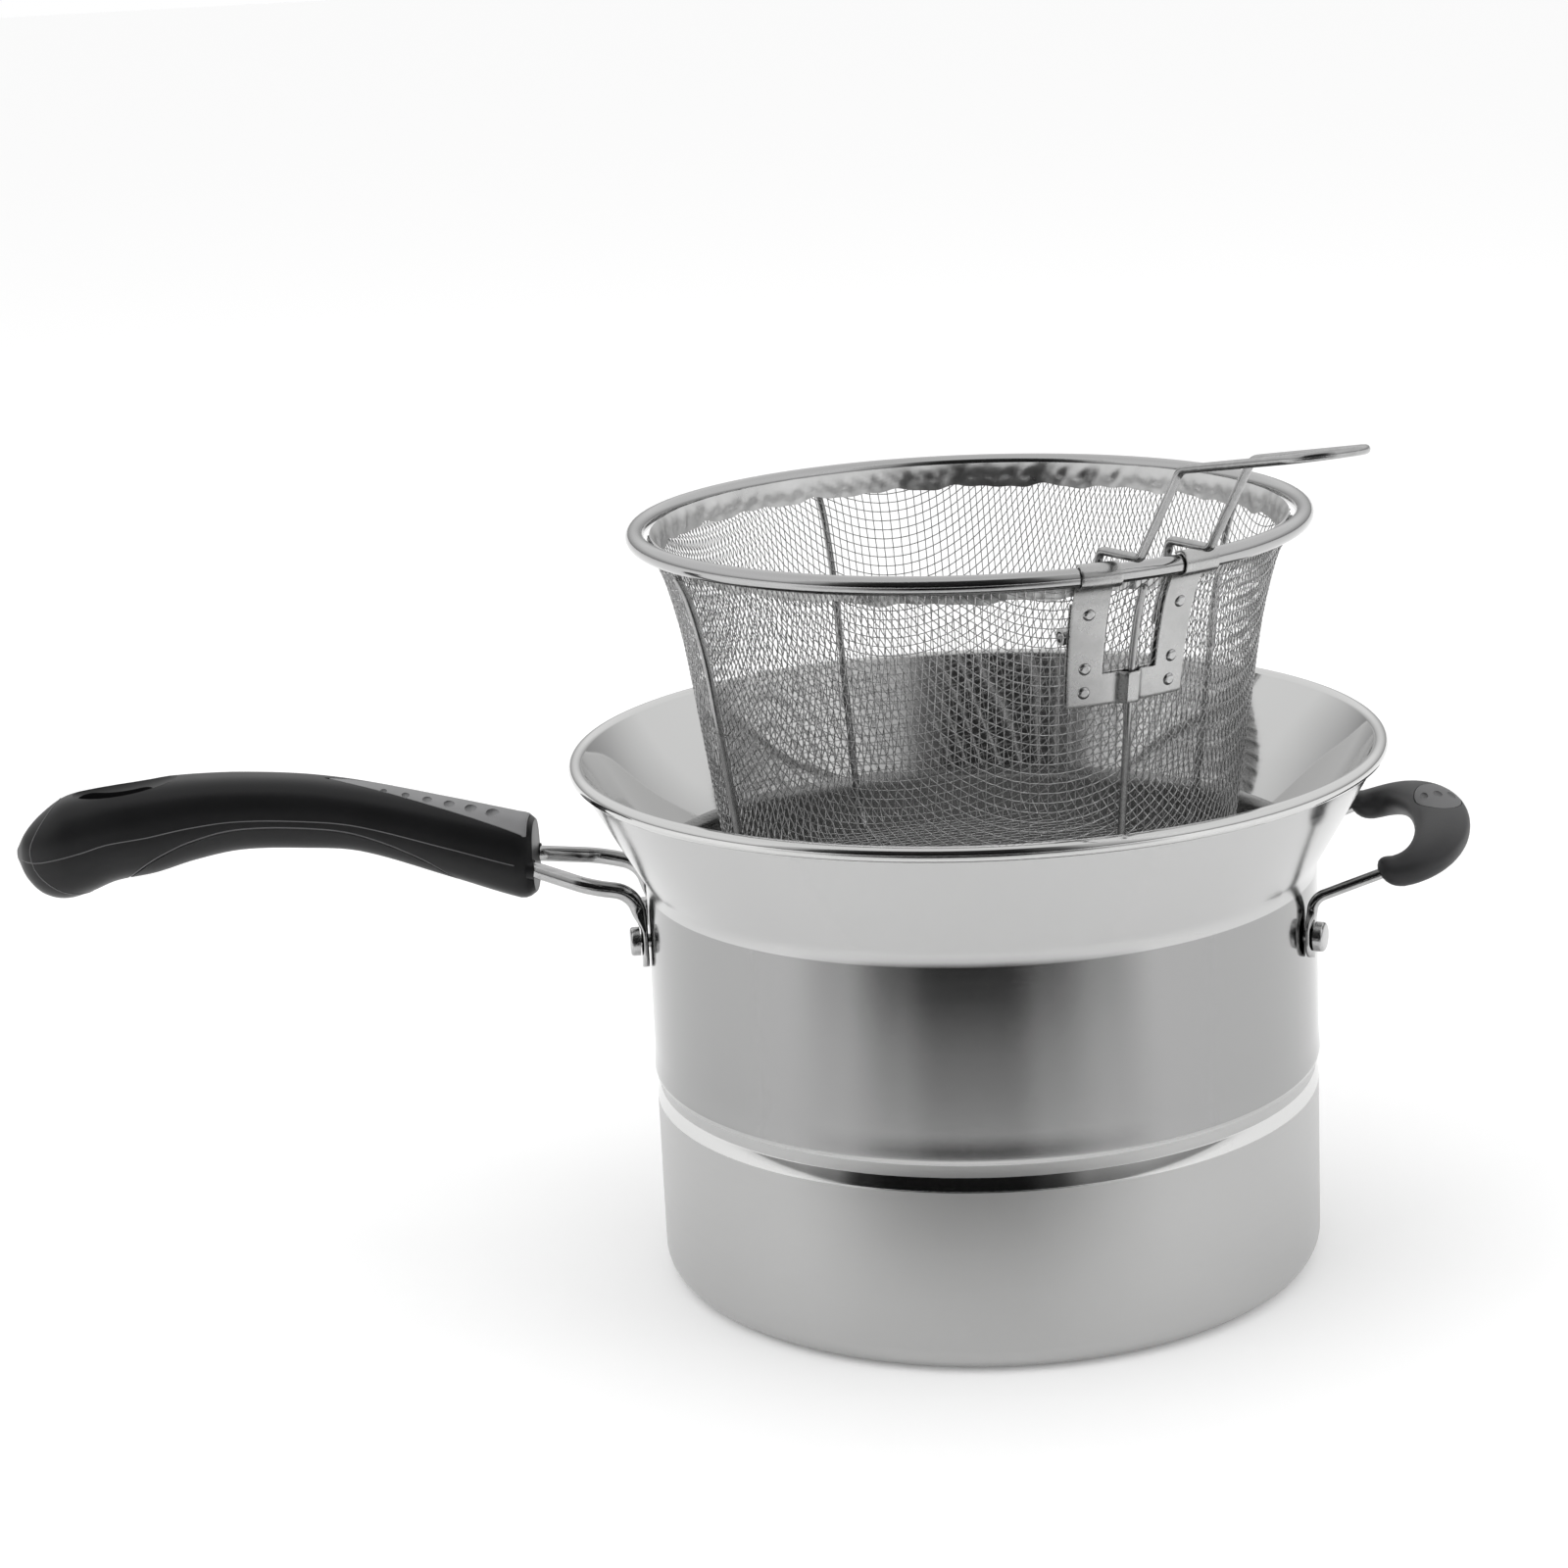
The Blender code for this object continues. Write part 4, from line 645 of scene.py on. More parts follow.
def pressed(x, y, foot):
    """The way along the profile and the azimuth of spots of the flat net, by Newton's method."""
    flat_x, flat_y = np.maximum(np.abs(x), 1e-6), np.maximum(np.abs(y), 1e-6)
    way, turn = np.hypot(flat_x, flat_y), np.arctan2(flat_y, flat_x)
    for _ in range(60):
        second, second_way, second_turn = flat_place(way, turn, foot)
        first, first_way, first_turn = flat_place(way, math.pi / 2.0 - turn, foot)
        first_turn = -first_turn
        off_x, off_y = first - flat_x, second - flat_y
        flat = first_way * second_turn - second_way * first_turn
        flat = np.where(np.abs(flat) < 1e-9, 1e-9, flat)
        change_way = (off_x * second_turn - off_y * first_turn) / flat
        change_turn = (off_y * first_way - off_x * second_way) / flat
        way = np.maximum(way - 0.6 * np.clip(change_way, -0.006, 0.006), 1e-6)
        turn = np.clip(turn - 0.6 * np.clip(change_turn, -0.08, 0.08), 0.0, math.pi / 2.0)
    turn = np.where(x < 0.0, math.pi - turn, turn)
    return way, np.where(y < 0.0, -turn, turn)


def net_wires(foot, reach):
    """Each wire's ways along the profile, azimuths and sides of the weave, in order."""
    last = int(reach / WEAVE_PITCH) + 1
    steps = np.arange(-2 * last, 2 * last + 1)
    grid_i, grid_j = np.meshgrid(np.arange(-last, last + 1), steps, indexing="ij")
    along, aside = grid_j * WEAVE_PITCH / 2.0, grid_i * WEAVE_PITCH
    over = np.where(grid_j % 2 == 0, 1.0 - 2.0 * ((grid_i + grid_j // 2) % 2), 0.0)
    wires = []
    for x, y, side in ((along, aside, over), (aside, along, -over)):
        way, turn = pressed(x, y, foot)
        for row in range(len(x)):
            inside = np.nonzero(way[row] <= reach)[0]
            for run in np.split(inside, np.nonzero(np.diff(inside) > 1)[0] + 1):
                if len(run) > 3:
                    wires.append((way[row, run], turn[row, run], side[row, run]))
    return wires


def make_cloth():
    """Plain-woven round wire, pressed from a flat square net into the basket's shape."""
    points, run, length = cloth_profile()
    reach = length[-1] - 0.001
    vertices, faces = [], []
    base = 0
    foot = length[CLOTH_FOOT]
    for s, phi, side in net_wires(foot, reach):
        phi = np.unwrap(phi)
        crease = np.clip((np.abs(np.sin(2.0 * phi)) - 0.74) / 0.2, 0.0, 1.0)
        crease *= np.clip((s - foot - 0.03) / 0.03, 0.0, 1.0)
        crease *= np.clip((length[-1] - s) / 0.008, 0.0, 1.0)
        wave = 2.0 * math.pi * s / RIPPLE_LENGTH
        wave = wave + 1.8 * np.sin(phi * 11.0) + 3.0 * np.sin(phi * 4.0)
        lift = side * WEAVE_LIFT + crease * RIPPLE * np.sin(wave)
        azimuth = phi + WEAVE_AZIMUTH
        out_r = np.interp(s, length, run[:, 1])
        out_z = -np.interp(s, length, run[:, 0])
        radius = np.interp(s, length, points[:, 0]) + out_r * lift
        height = np.interp(s, length, points[:, 1]) + out_z * lift
        centre = np.stack([radius * np.cos(azimuth), radius * np.sin(azimuth), height], 1)
        normal = np.stack([out_r * np.cos(azimuth), out_r * np.sin(azimuth), out_z], 1)
        along = np.gradient(centre, axis=0)
        along /= np.linalg.norm(along, axis=1)[:, None]
        across = np.cross(along, normal)
        across /= np.linalg.norm(across, axis=1)[:, None]
        normal = np.cross(across, along)
        ring = []
        for turn in range(WEAVE_SIDES):
            angle = 2.0 * math.pi * (turn + 0.5) / WEAVE_SIDES
            ring.append(centre + (normal * math.cos(angle) + across * math.sin(angle)) * WEAVE_WIRE)
        vertices.append(np.stack(ring, 1).reshape(-1, 3))
        count = len(centre)
        row = base + WEAVE_SIDES * np.arange(count - 1)[:, None]
        here = row + np.arange(WEAVE_SIDES)[None]
        following = row + (np.arange(WEAVE_SIDES)[None] + 1) % WEAVE_SIDES
        quads = np.stack([here, following, following + WEAVE_SIDES, here + WEAVE_SIDES], 2)
        faces += quads.reshape(-1, 4).tolist()
        faces.append(list(range(base + WEAVE_SIDES - 1, base - 1, -1)))
        faces.append(list(range(base + WEAVE_SIDES * (count - 1), base + WEAVE_SIDES * count)))
        base += WEAVE_SIDES * count
    cloth = mesh_object("basket_cloth", np.concatenate(vertices).tolist(), faces)
    finish_mesh(cloth, CLOTH_STEEL, "basket", "basket_wire_cloth", angle=80.0)


def cloth_radius(drop):
    """The cloth's outer radius at a drop below the rim tube's centre."""
    return CLOTH_TOP * smooth_rows(CLOTH_SHARES, drop / BASKET_DEPTH)[0]


def make_rim():
    """The round tube that the cloth hangs from."""
    ring = arc((BASKET_RADIUS, BASKET_HEIGHT), RIM_TUBE, 360.0, 15.0, 23)
    rim = tidy_normals(lathe("basket_rim_tube", ring, RIM_STEPS))
    finish_mesh(rim, RIM_STEEL, "basket", "basket_rim", angle=60.0)


def make_collar():
    """The crimped sheet inside the rim, its lower edge pressed into uneven waves."""
    steps, rows = COLLAR_STEPS, COLLAR_ROWS
    vertices, faces = [], []
    for i, angle in enumerate(turns(steps)):
        wave = 0.5 * math.sin(angle * 23.0) + 0.3 * math.sin(angle * 37.0 + 1.3)
        wave += 0.25 * math.sin(angle * 61.0 + 0.4)
        for k in range(rows):
            share = k / (rows - 1)
            drop = (COLLAR_DROP - COLLAR_WAVE + COLLAR_WAVE * wave) * share
            radius = cloth_radius(drop) - CLOTH_THICKNESS - GAP - COLLAR_GAP
            radius -= COLLAR_SWELL * (wave * 0.5 + 0.5) * math.sin(math.pi * min(share * 1.3, 1.0))
            crease = math.sin(angle * 83.0 + 3.0 * share) * math.sin(angle * 17.0 + 7.0 * share)
            crease += 0.7 * math.sin(angle * 127.0 - 6.0 * share) * math.sin(angle * 29.0)
            radius -= COLLAR_CREASE * (crease + 1.7) * math.sin(math.pi * share) ** 0.7
            vertices.append((*polar(radius, angle), BASKET_HEIGHT + COLLAR_SHEET - drop))
        j = (i + 1) % steps
        for k in range(rows - 1):
            faces.append((i * rows + k, i * rows + k + 1, j * rows + k + 1, j * rows + k))
    collar = thickened(mesh_object("basket_collar", vertices, faces), COLLAR_SHEET)
    finish_mesh(applied(collar), COLLAR_STEEL, "basket", "basket_rim_collar", angle=70.0)


def make_ribs():
    """Two wires that run down the wall, under the bottom and up again."""
    points, run, _ = cloth_profile()
    offset = CLOTH_THICKNESS / 2.0 + GAP + RIB_RADIUS
    for name, node, turn, extra in (
        ("rib_one", "basket_rib_long", 0.0, 0.0),
        ("rib_two", "basket_rib_cross", math.pi / 2.0, 2.0 * RIB_RADIUS + GAP),
    ):
        across = outward(BRACKET_AZIMUTH + turn)
        side = []
        for index in range(len(points) - 1, 0, -1):
            radius = points[index, 0] + run[index, 1] * offset
            height = points[index, 1] - run[index, 0] * offset
            if height > BASKET_HEIGHT - RIM_TUBE - RIB_RADIUS:
                continue
            past = min(max((25 - index) / 12.0, 0.0), 1.0)
            side.append((radius, height - extra * past * past * (3.0 - 2.0 * past)))
        path = [across * radius + UP * height for radius, height in side]
        path += [across * -radius + UP * height for radius, height in reversed(side)]
        finish_mesh(wire(name, path, RIB_RADIUS, 12), WIRE_STEEL, "basket", node, angle=60.0)


# Long grip
GRIP_REACH = 0.0297
GRIP_LENGTH = 0.1418
GRIP_HEIGHT = 0.0230
GRIP_WIDTH = 0.0214
GRIP_ARCH = 0.0152
GRIP_RISE = 0.0050
GRIP_SQUARENESS = 2.5
GRIP_STEPS = 84
GRIP_SIDES = 56
# Along the grip, centre rise, half height and half width
GRIP_SHARES = (
    (0.000, 0.00, 0.84, 0.84),
    (0.012, 0.01, 0.96, 0.95),
    (0.030, 0.02, 1.00, 1.00),
    (0.160, 0.38, 0.92, 0.97),
    (0.330, 0.83, 0.81, 0.93),
    (0.440, 0.96, 0.85, 0.95),
    (0.560, 1.00, 0.89, 1.00),
    (0.650, 0.92, 0.99, 1.07),
    (0.730, 0.79, 1.10, 1.14),
    (0.806, 0.69, 1.13, 1.16),
    (0.857, 0.55, 1.19, 1.14),
    (0.907, 0.43, 1.19, 1.07),
    (0.950, 0.34, 0.95, 0.88),
    (0.980, 0.33, 0.58, 0.58),
    (1.000, 0.35, 0.14, 0.14),
)
HOLE_SHARE = 0.800
HOLE_LENGTH = 0.0205
HOLE_WIDTH = 0.0088
INLAY_SPAN = (0.008, 0.395)
INLAY_WIDTH = 0.0172
INLAY_DEPTH = 0.0012
INLAY_GAP = 0.00022
# High enough to meet all of the grip's top and too low to meet its underside
WEDGE_PRISM = GRIP_HEIGHT * 2.4
PAD_SPAN = (0.136, 0.787)
PAD_RISES = (0.02, 0.38, 0.56, 0.67, 0.74, 0.77, 0.78, 0.77, 0.74, 0.67, 0.56, 0.38, 0.02)
PAD_LINE_STEPS = 48
PAD_LINE_SINK = 0.00005
DENTS = 6
DENT = (0.0019, 0.0031, 0.0009)
DENT_START = 0.075
DENT_STEP = 0.041
DENT_TURN = 0.24
DENT_TAPER = 0.11
SEAM_RADIUS = 0.00016
SEAM_SINK = 0.03
# The line round the grip's tail: its place along the grip, and how it leans and curves
TAIL_SHARE = 0.9215
TAIL_LEAN = 0.027
TAIL_CURVE = 0.0375


def grip_x(share):
    """Where a share of the long grip's length lies along X."""
    return -(BODY_RADIUS + GRIP_REACH + GRIP_LENGTH * share)


def grip_point(share, angle, grow=0.0):
    """A point on the long grip's skin, at a share of its length and an angle round it."""
    rise, tall, wide = smooth_rows(GRIP_SHARES, share)
    x = grip_x(share)
    if share == 0.0:
        x += grow
    if share == 1.0:
        x -= grow
    half_width, half_height = GRIP_WIDTH / 2.0 * wide + grow, GRIP_HEIGHT / 2.0 * tall + grow
    y, z = squared(angle, GRIP_SQUARENESS)
    height = NECK_HEIGHT + GRIP_RISE + GRIP_ARCH * rise
    return Vector((x, half_width * y, height + half_height * z))


def grip_solid(grow):
    """The long grip's outer form, grown by a little or shrunk."""
    shares = [0.0, 0.004, 0.012, 0.020, 0.030]
    for step in range(1, GRIP_STEPS):
        shares.append(0.030 + 0.970 * math.sin(step / GRIP_STEPS * math.pi / 2.0))
    rings = []
    for share in shares + [1.0]:
        rings.append([grip_point(share, angle, grow) for angle in turns(GRIP_SIDES)])
    return loft("grip", rings)


def prism(outline, thickness, placement):
    """A flat outline in its own XY plane with a thickness, centred, then placed."""
    count = len(outline)
    vertices = [(x, y, -thickness / 2.0) for x, y in outline]
    vertices += [(x, y, thickness / 2.0) for x, y in outline]
    faces = [tuple(reversed(range(count))), tuple(range(count, 2 * count))]
    for i in range(count):
        j = (i + 1) % count
        faces.append((i, j, j + count, i + count))
    obj = mesh_object("prism", vertices, faces)
    obj.data.transform(placement)
    return tidy_normals(obj)


def ball(centre, radii, turn=None):
    """A rounded cutter with its own three radii."""
    work = bmesh.new()
    bmesh.ops.create_uvsphere(work, u_segments=28, v_segments=16, radius=1.0)
    mesh = bpy.data.meshes.new("ball")
    work.to_mesh(mesh)
    work.free()
    turned = Matrix.Translation(centre) @ (turn or Matrix.Identity(4))
    mesh.transform(turned @ Matrix.Diagonal((*radii, 1.0)))
    return linked("ball", mesh)


def inlaid(name, solid, outline, placement, height, depth, host):
    """Sinks a pocket into the host where a prism meets its skin, and returns its inlay."""
    core = solid(-depth - INLAY_GAP)
    pocket = boolean(prism(outline(0.0), height, placement), core)
    boolean(host, pocket)
    inlay = boolean(prism(outline(INLAY_GAP), height, placement), solid(0.0), "INTERSECT")
    boolean(inlay, solid(-depth))
    inlay.name = name
    return inlay


def wedge_outline(shrink):
    """The grey wedge from above: blunt at the pot, pointed along the grip."""
    start, end = grip_x(INLAY_SPAN[0]) - shrink, grip_x(INLAY_SPAN[1]) + shrink * 6.0
    half = INLAY_WIDTH / 2.0 - shrink
    near = []
    for t in np.linspace(0, 1, 13):
        near.append((start + (end - start) * t, half * (1.0 - t) ** 0.70 + half * 0.03))
    return near + [(x, -y) for x, y in reversed(near)]


def pad_outline(shrink):
    """The finger pad from the side: an arch up the grip's flank, open below."""
    start, end = PAD_SPAN
    last = len(PAD_RISES) - 1
    arch = []
    for i, lift in enumerate(PAD_RISES):
        share = start + (end - start) * i / last
        rise, tall, _ = smooth_rows(GRIP_SHARES, share)
        middle = NECK_HEIGHT + GRIP_RISE + GRIP_ARCH * rise
        inward = shrink * (1.0 - 2.0 * i / last) * 2.0
        height = middle - GRIP_HEIGHT / 2.0 * tall * (1.0 - lift) - shrink
        arch.append((grip_x(share) - inward, height))
    low = min(height for _, height in arch) - GRIP_HEIGHT
    return arch + [(arch[-1][0], low), (arch[0][0], low)]


def seam(name, path, radius):
    """A hair-thin line of flash where two halves of the grip meet."""
    line = finish_mesh(wire(name, path, radius, 6), SEAM_GREY, "pot", angle=180.0)


def make_long_grip():
    """The long grip with its slot, wedge, dents, finger pad and parting lines."""
    grip = grip_solid(0.0)
    middle = grip_point(HOLE_SHARE, math.pi / 2.0)
    straight = (HOLE_LENGTH - HOLE_WIDTH) / 2.0
    # A hanging slot right through, then a shallow scoop round it
    slot = arc((straight, 0.0), HOLE_WIDTH / 2.0, -90.0, 90.0, 16)
    slot += arc((-straight, 0.0), HOLE_WIDTH / 2.0, 90.0, 270.0, 16)
    boolean(grip, prism(slot, GRIP_HEIGHT * 4.0, Matrix.Translation(middle)))
    scoop = ball(
        middle + Vector((HOLE_LENGTH * 0.14, 0.0, GRIP_HEIGHT * 0.02)),
        (HOLE_LENGTH * 0.74, HOLE_WIDTH * 0.98, GRIP_HEIGHT * 0.16),
        Matrix.Rotation(math.radians(-9.0), 4, "Y"),
    )
    boolean(grip, scoop)
    top = grip_point(INLAY_SPAN[1], math.pi / 2.0).z + GRIP_HEIGHT / 2.0
    wedge = inlaid(
        "long_grip_wedge",
        grip_solid,
        wedge_outline,
        Matrix.Translation((0.0, 0.0, top)),
        WEDGE_PRISM,
        INLAY_DEPTH,
        grip,
    )
    for number in range(DENTS):
        size = 1.0 - DENT_TAPER * number
        spot = grip_point(DENT_START + DENT_STEP * number, math.pi / 2.0 + DENT_TURN)
        boolean(wedge, ball(spot, (DENT[0] * size, DENT[1] * size, DENT[2])))
    side_on = Matrix.Rotation(math.pi / 2.0, 4, "X")
    pad = inlaid(
        "long_grip_pad", grip_solid, pad_outline, side_on, GRIP_WIDTH * 2.0, INLAY_DEPTH, grip
    )
    grip.name = "long_grip"
    finish_mesh(grip, GRIP_BLACK, "pot", "long_handle_grip")
    finish_mesh(wedge, INLAY_GREY, "pot", "long_grip_inlay")
    finish_mesh(pad, PAD_BLACK, "pot", "long_grip_finger_pad")
    start, end = PAD_SPAN
    rises = [(i / (len(PAD_RISES) - 1), rise) for i, rise in enumerate(PAD_RISES)]
    for name, turn in (("pad_line_front", math.pi), ("pad_line_rear", 0.0)):
        arch = []
        for step in range(1, PAD_LINE_STEPS):
            lift = smooth_rows(rises, step / PAD_LINE_STEPS)[0]
            sink = math.asin((1.0 - lift) ** (GRIP_SQUARENESS / 2.0))
            share = start + (end - start) * step / PAD_LINE_STEPS
            arch.append(grip_point(share, turn + sink if turn else -sink, -PAD_LINE_SINK))
        seam(name, arch, SEAM_RADIUS * 1.3)
    side = math.asin(SEAM_SINK ** (GRIP_SQUARENESS / 2.0))
    for name, start in (("seam_front", math.pi + side), ("seam_rear", -side)):
        shares = np.linspace(0.034, 0.985, 60)
        seam(name, [grip_point(share, start) for share in shares], SEAM_RADIUS)
    cap = []
    for turn in np.linspace(0.0, 2.0 * math.pi, 49):
        share = TAIL_SHARE + TAIL_LEAN * math.sin(turn) + TAIL_CURVE * math.cos(2.0 * turn)
        cap.append(grip_point(share, turn))
    seam("seam_tail", cap, SEAM_RADIUS)


# Rods, legs, pads and rivets on the wall
ROD_RADIUS = 0.0021
ROD_SPREAD = 0.0160
ROD_PAD_SPREAD = 0.0270
ROD_RUN_IN = 0.012
ROD_RIVET_HEIGHT = NECK_HEIGHT - 0.0161
LEG_RADIUS = 0.0014
LEG_PAD_SPREAD = 0.0628
LEG_RIVET_HEIGHT = NECK_HEIGHT - 0.0150
PAD_THICKNESS = 0.0020
PAD_WIDTH = 0.0082
ROD_PAD_LENGTH = 0.0165
LEG_PAD_LENGTH = 0.0130
# Share of a pad below its rivet, and how far the rod's middle stops short of the pad's foot
PAD_BELOW = 0.44
PAD_INSET = 0.0001
RIVET_HEAD = 0.0039
RIVET_HEAD_HEIGHT = 0.0026
RIVET_SHAFT = 0.0018
RIVET_EDGE = 0.0009
RIVET_TAIL = 0.0036
RIVET_TAIL_EDGE = 0.0004
HELPER_SPAN = 0.0660
HELPER_X = BODY_RADIUS + 0.0180
HELPER_Z = NECK_HEIGHT + 0.0022
HELPER_STEPS = 44
HELPER_SIDES = 40
HELPER_SQUARENESS = 2.3
HELPER_BOW = 0.0150
HELPER_TILT = 0.0056
HELPER_WIDTH = 0.0148
HELPER_SQUARE = 0.80
HELPER_THICKNESS = 0.0100
HELPER_END = 0.64
HELPER_TIP = 0.0050
HELPER_INLAY = (0.0280, 0.0124)
HELPER_INLAY_SHIFT = 0.0030
HELPER_INLAY_DEPTH = 0.0010
HELPER_DENTS = 3
HELPER_DENT = (0.0011, 0.0034, 0.0008)


def flattened(name, path, radius, azimuth, foot_z, top_z):
    """A round rod whose wall end is hammered flat into a pad with a round foot."""
    out = outward(azimuth)
    half = PAD_WIDTH / 2.0
    dense = [path[0]]
    for first, second in zip(path, path[1:]):
        pieces = max(int((second - first).length / 0.0006), 1)
        dense += [first.lerp(second, (k + 1) / pieces) for k in range(pieces)]
    points, sizes = [], []
    for point in dense:
        near = point.dot(out) < BODY_RADIUS + GAP + radius * 2.2
        flat = min(max((top_z - point.z) / (radius * 3.0), 0.0), 1.0) if near else 0.0
        flat = flat * flat * (3.0 - 2.0 * flat)
        over = max(half - (point.z - foot_z), 0.0) / half if near else 0.0
        width = radius + (half - radius) * flat
        width *= math.sqrt(max(1.0 - over * over, 0.02))
        depth = radius + (PAD_THICKNESS / 2.0 - radius) * flat
        points.append(point - out * ((radius - PAD_THICKNESS / 2.0) * flat))
        sizes.append((width, depth))
    return sweep(name, points, sizes, around(azimuth), 24, 2.4)


def rivet(name, azimuth, height, node):
    """A low round head outside the pad, the shaft, and a set tail inside the pot."""
    top, edge = RIVET_HEAD_HEIGHT, RIVET_EDGE
    tail, soft = RIVET_TAIL, RIVET_TAIL_EDGE
    stack = 3.0 * GAP + PAD_THICKNESS + WALL
    head = [(0.0, top)] + arc((RIVET_HEAD - edge, top - edge), edge, 90.0, 0.0, 6)
    head += [(RIVET_HEAD, 0.0), (RIVET_SHAFT, 0.0), (RIVET_SHAFT, -stack), (tail, -stack)]
    head += arc((tail - soft, -stack - soft), soft, 0.0, -90.0, 4)
    head.append((0.0, -stack - soft * 2.0))
    piece = tidy_normals(lathe(name, head, 40, closed=False))
    piece.data.transform(radial(azimuth, BODY_RADIUS + 2.0 * GAP + PAD_THICKNESS, height))
    finish_mesh(piece, RIVET_STEEL, "pot", node, angle=40.0)


def wall_rod(names, nodes, azimuth, radius, height, length, beyond, bends):
    """A rod from its flat pad on the wall to its grip, and the rivet that holds the pad."""
    out = outward(azimuth)
    wall = BODY_RADIUS + GAP + radius
    foot, top = height - length * PAD_BELOW, height + length * (1.0 - PAD_BELOW)
    corners = [out * wall + UP * (foot + PAD_INSET), out * wall + UP * (top + radius * 2.0)]
    path = rounded(corners + beyond, bends)
    rod = flattened(names[0], path, radius, azimuth, foot, top)
    finish_mesh(rod, ROD_STEEL, "pot", nodes[0], angle=50.0)
    rivet(names[1], azimuth, height, nodes[1])


def make_rods():
    """The long grip's two rods, their rivets and the mouths they enter the grip by."""
    x = grip_x(0.0)
    z = NECK_HEIGHT + GRIP_RISE - GRIP_HEIGHT * 0.08
    wall = BODY_RADIUS + GAP + ROD_RADIUS
    top = ROD_RIVET_HEIGHT + ROD_PAD_LENGTH * (1.0 - PAD_BELOW)
    for name, side in (("front", -1.0), ("rear", 1.0)):
        azimuth = math.pi - side * math.asin(ROD_PAD_SPREAD / 2.0 / BODY_RADIUS)
        y = side * ROD_SPREAD / 2.0
        knee = outward(azimuth) * (wall + GRIP_REACH * 0.42)
        beyond = [
            knee + UP * (z * 0.45 + top * 0.55 + ROD_RADIUS),
            Vector((x, y, z)),
            Vector((x - ROD_RUN_IN, y, z + ROD_RUN_IN * 0.1)),
        ]
        wall_rod(
            ("rod_" + name, "rivet_long_" + name),
            ("long_handle_rod_" + name, "long_handle_rivet_" + name),
            azimuth,
            ROD_RADIUS,
            ROD_RIVET_HEIGHT,
            ROD_PAD_LENGTH,
            beyond,
            (0.008, 0.016, 0.008),
        )
        sleeve = [(x + 0.0004, y, z), (x - 0.002, y, z + 0.0002)]
        mouth = wire("rod_mouth_" + name, sleeve, ROD_RADIUS + 0.0006, 20)
        finish_mesh(mouth, GRIP_BLACK, "pot")


def helper_stations():
    """Places along the bowed grip: its middle, its direction, half its width and thickness."""
    stations = []
    for step in range(HELPER_STEPS + 1):
        angle = math.pi * (step / HELPER_STEPS - 0.5)
        bow, turn = math.cos(angle), math.sin(angle)
        reach = HELPER_BOW * max(bow, 0.0) ** HELPER_SQUARE
        point = Vector((HELPER_X + reach, HELPER_SPAN / 2.0 * turn, HELPER_Z + HELPER_TILT * bow))
        along = Vector((-HELPER_BOW * turn, HELPER_SPAN / 2.0 * bow, -HELPER_TILT * turn))
        share = HELPER_END + (1.0 - HELPER_END) * bow
        size = (HELPER_WIDTH / 2.0 * share, HELPER_THICKNESS / 4.0 * (1.0 + share))
        stations.append((point, along.normalized(), *size))
    first, last = stations[0], stations[-1]
    for share in (0.25, 0.45, 0.65, 0.82, 0.93, 1.0):
        size = math.sqrt(max(1.0 - share**3, 0.04))
        back = Vector((-HELPER_TIP * share, 0.0, 0.0))
        stations.insert(0, (first[0] + back, first[1], first[2] * size, first[3] * size))
        stations.append((last[0] + back, last[1], last[2] * size, last[3] * size))
    return stations


def helper_solid(grow):
    """The helper grip's outer form, grown by a little or shrunk."""
    rings = []
    for point, along, width, thickness in helper_stations():
        across = along.cross(UP).normalized()
        rise = across.cross(along).normalized()
        ring = []
        for angle in turns(HELPER_SIDES):
            x, z = squared(angle, HELPER_SQUARENESS)
            ring.append(point + across * ((width + grow) * x) + rise * ((thickness + grow) * z))
        rings.append(ring)
    return loft("helper", rings)


def helper_oval(shrink):
    """The helper's oval inlay from above."""
    long, wide = (size / 2.0 - shrink for size in HELPER_INLAY)
    points = []
    for angle in turns(HELPER_SIDES):
        x = HELPER_X + HELPER_BOW + wide * math.cos(angle)
        points.append((x, HELPER_INLAY_SHIFT + long * math.sin(angle)))
    return points


def make_helper():
    """The bowed grip, its dented oval, its two legs and their rivets."""
    grip = helper_solid(0.0)
    placement = Matrix.Translation((0.0, 0.0, HELPER_Z + HELPER_TILT + HELPER_THICKNESS))
    height = HELPER_THICKNESS * 2.0
    depth = HELPER_INLAY_DEPTH
    oval = inlaid("helper_oval", helper_solid, helper_oval, placement, height, depth, grip)
    crown = HELPER_Z + HELPER_TILT + HELPER_THICKNESS / 2.0
    power = HELPER_SQUARENESS
    for number in range(HELPER_DENTS):
        aside = (number - 1) * HELPER_INLAY[1] * 0.30
        level = (1.0 - (abs(aside) / HELPER_WIDTH * 2.0) ** power) ** (1.0 / power)
        spot = (
            HELPER_X + HELPER_BOW + aside,
            HELPER_INLAY_SHIFT,
            crown - HELPER_THICKNESS / 2.0 * (1.0 - level),
        )
        boolean(oval, ball(spot, HELPER_DENT))
    grip.name = "helper_grip"
    finish_mesh(grip, HELPER_BLACK, "pot", "helper_handle_grip")
    finish_mesh(oval, PATCH_GREY, "pot", "helper_grip_inlay")
    for name, side in (("front", -1.0), ("rear", 1.0)):
        y = side * HELPER_SPAN / 2.0
        beyond = [
            Vector((HELPER_X - HELPER_TIP * 0.7, y, HELPER_Z - 0.0002)),
            Vector((HELPER_X + 0.002, y, HELPER_Z)),
        ]
        wall_rod(
            ("leg_" + name, "rivet_helper_" + name),
            ("helper_handle_wire_" + name, "helper_handle_rivet_" + name),
            side * math.asin(LEG_PAD_SPREAD / 2.0 / BODY_RADIUS),
            LEG_RADIUS,
            LEG_RIVET_HEIGHT,
            LEG_PAD_LENGTH,
            beyond,
            (0.0048, 0.0048),
        )


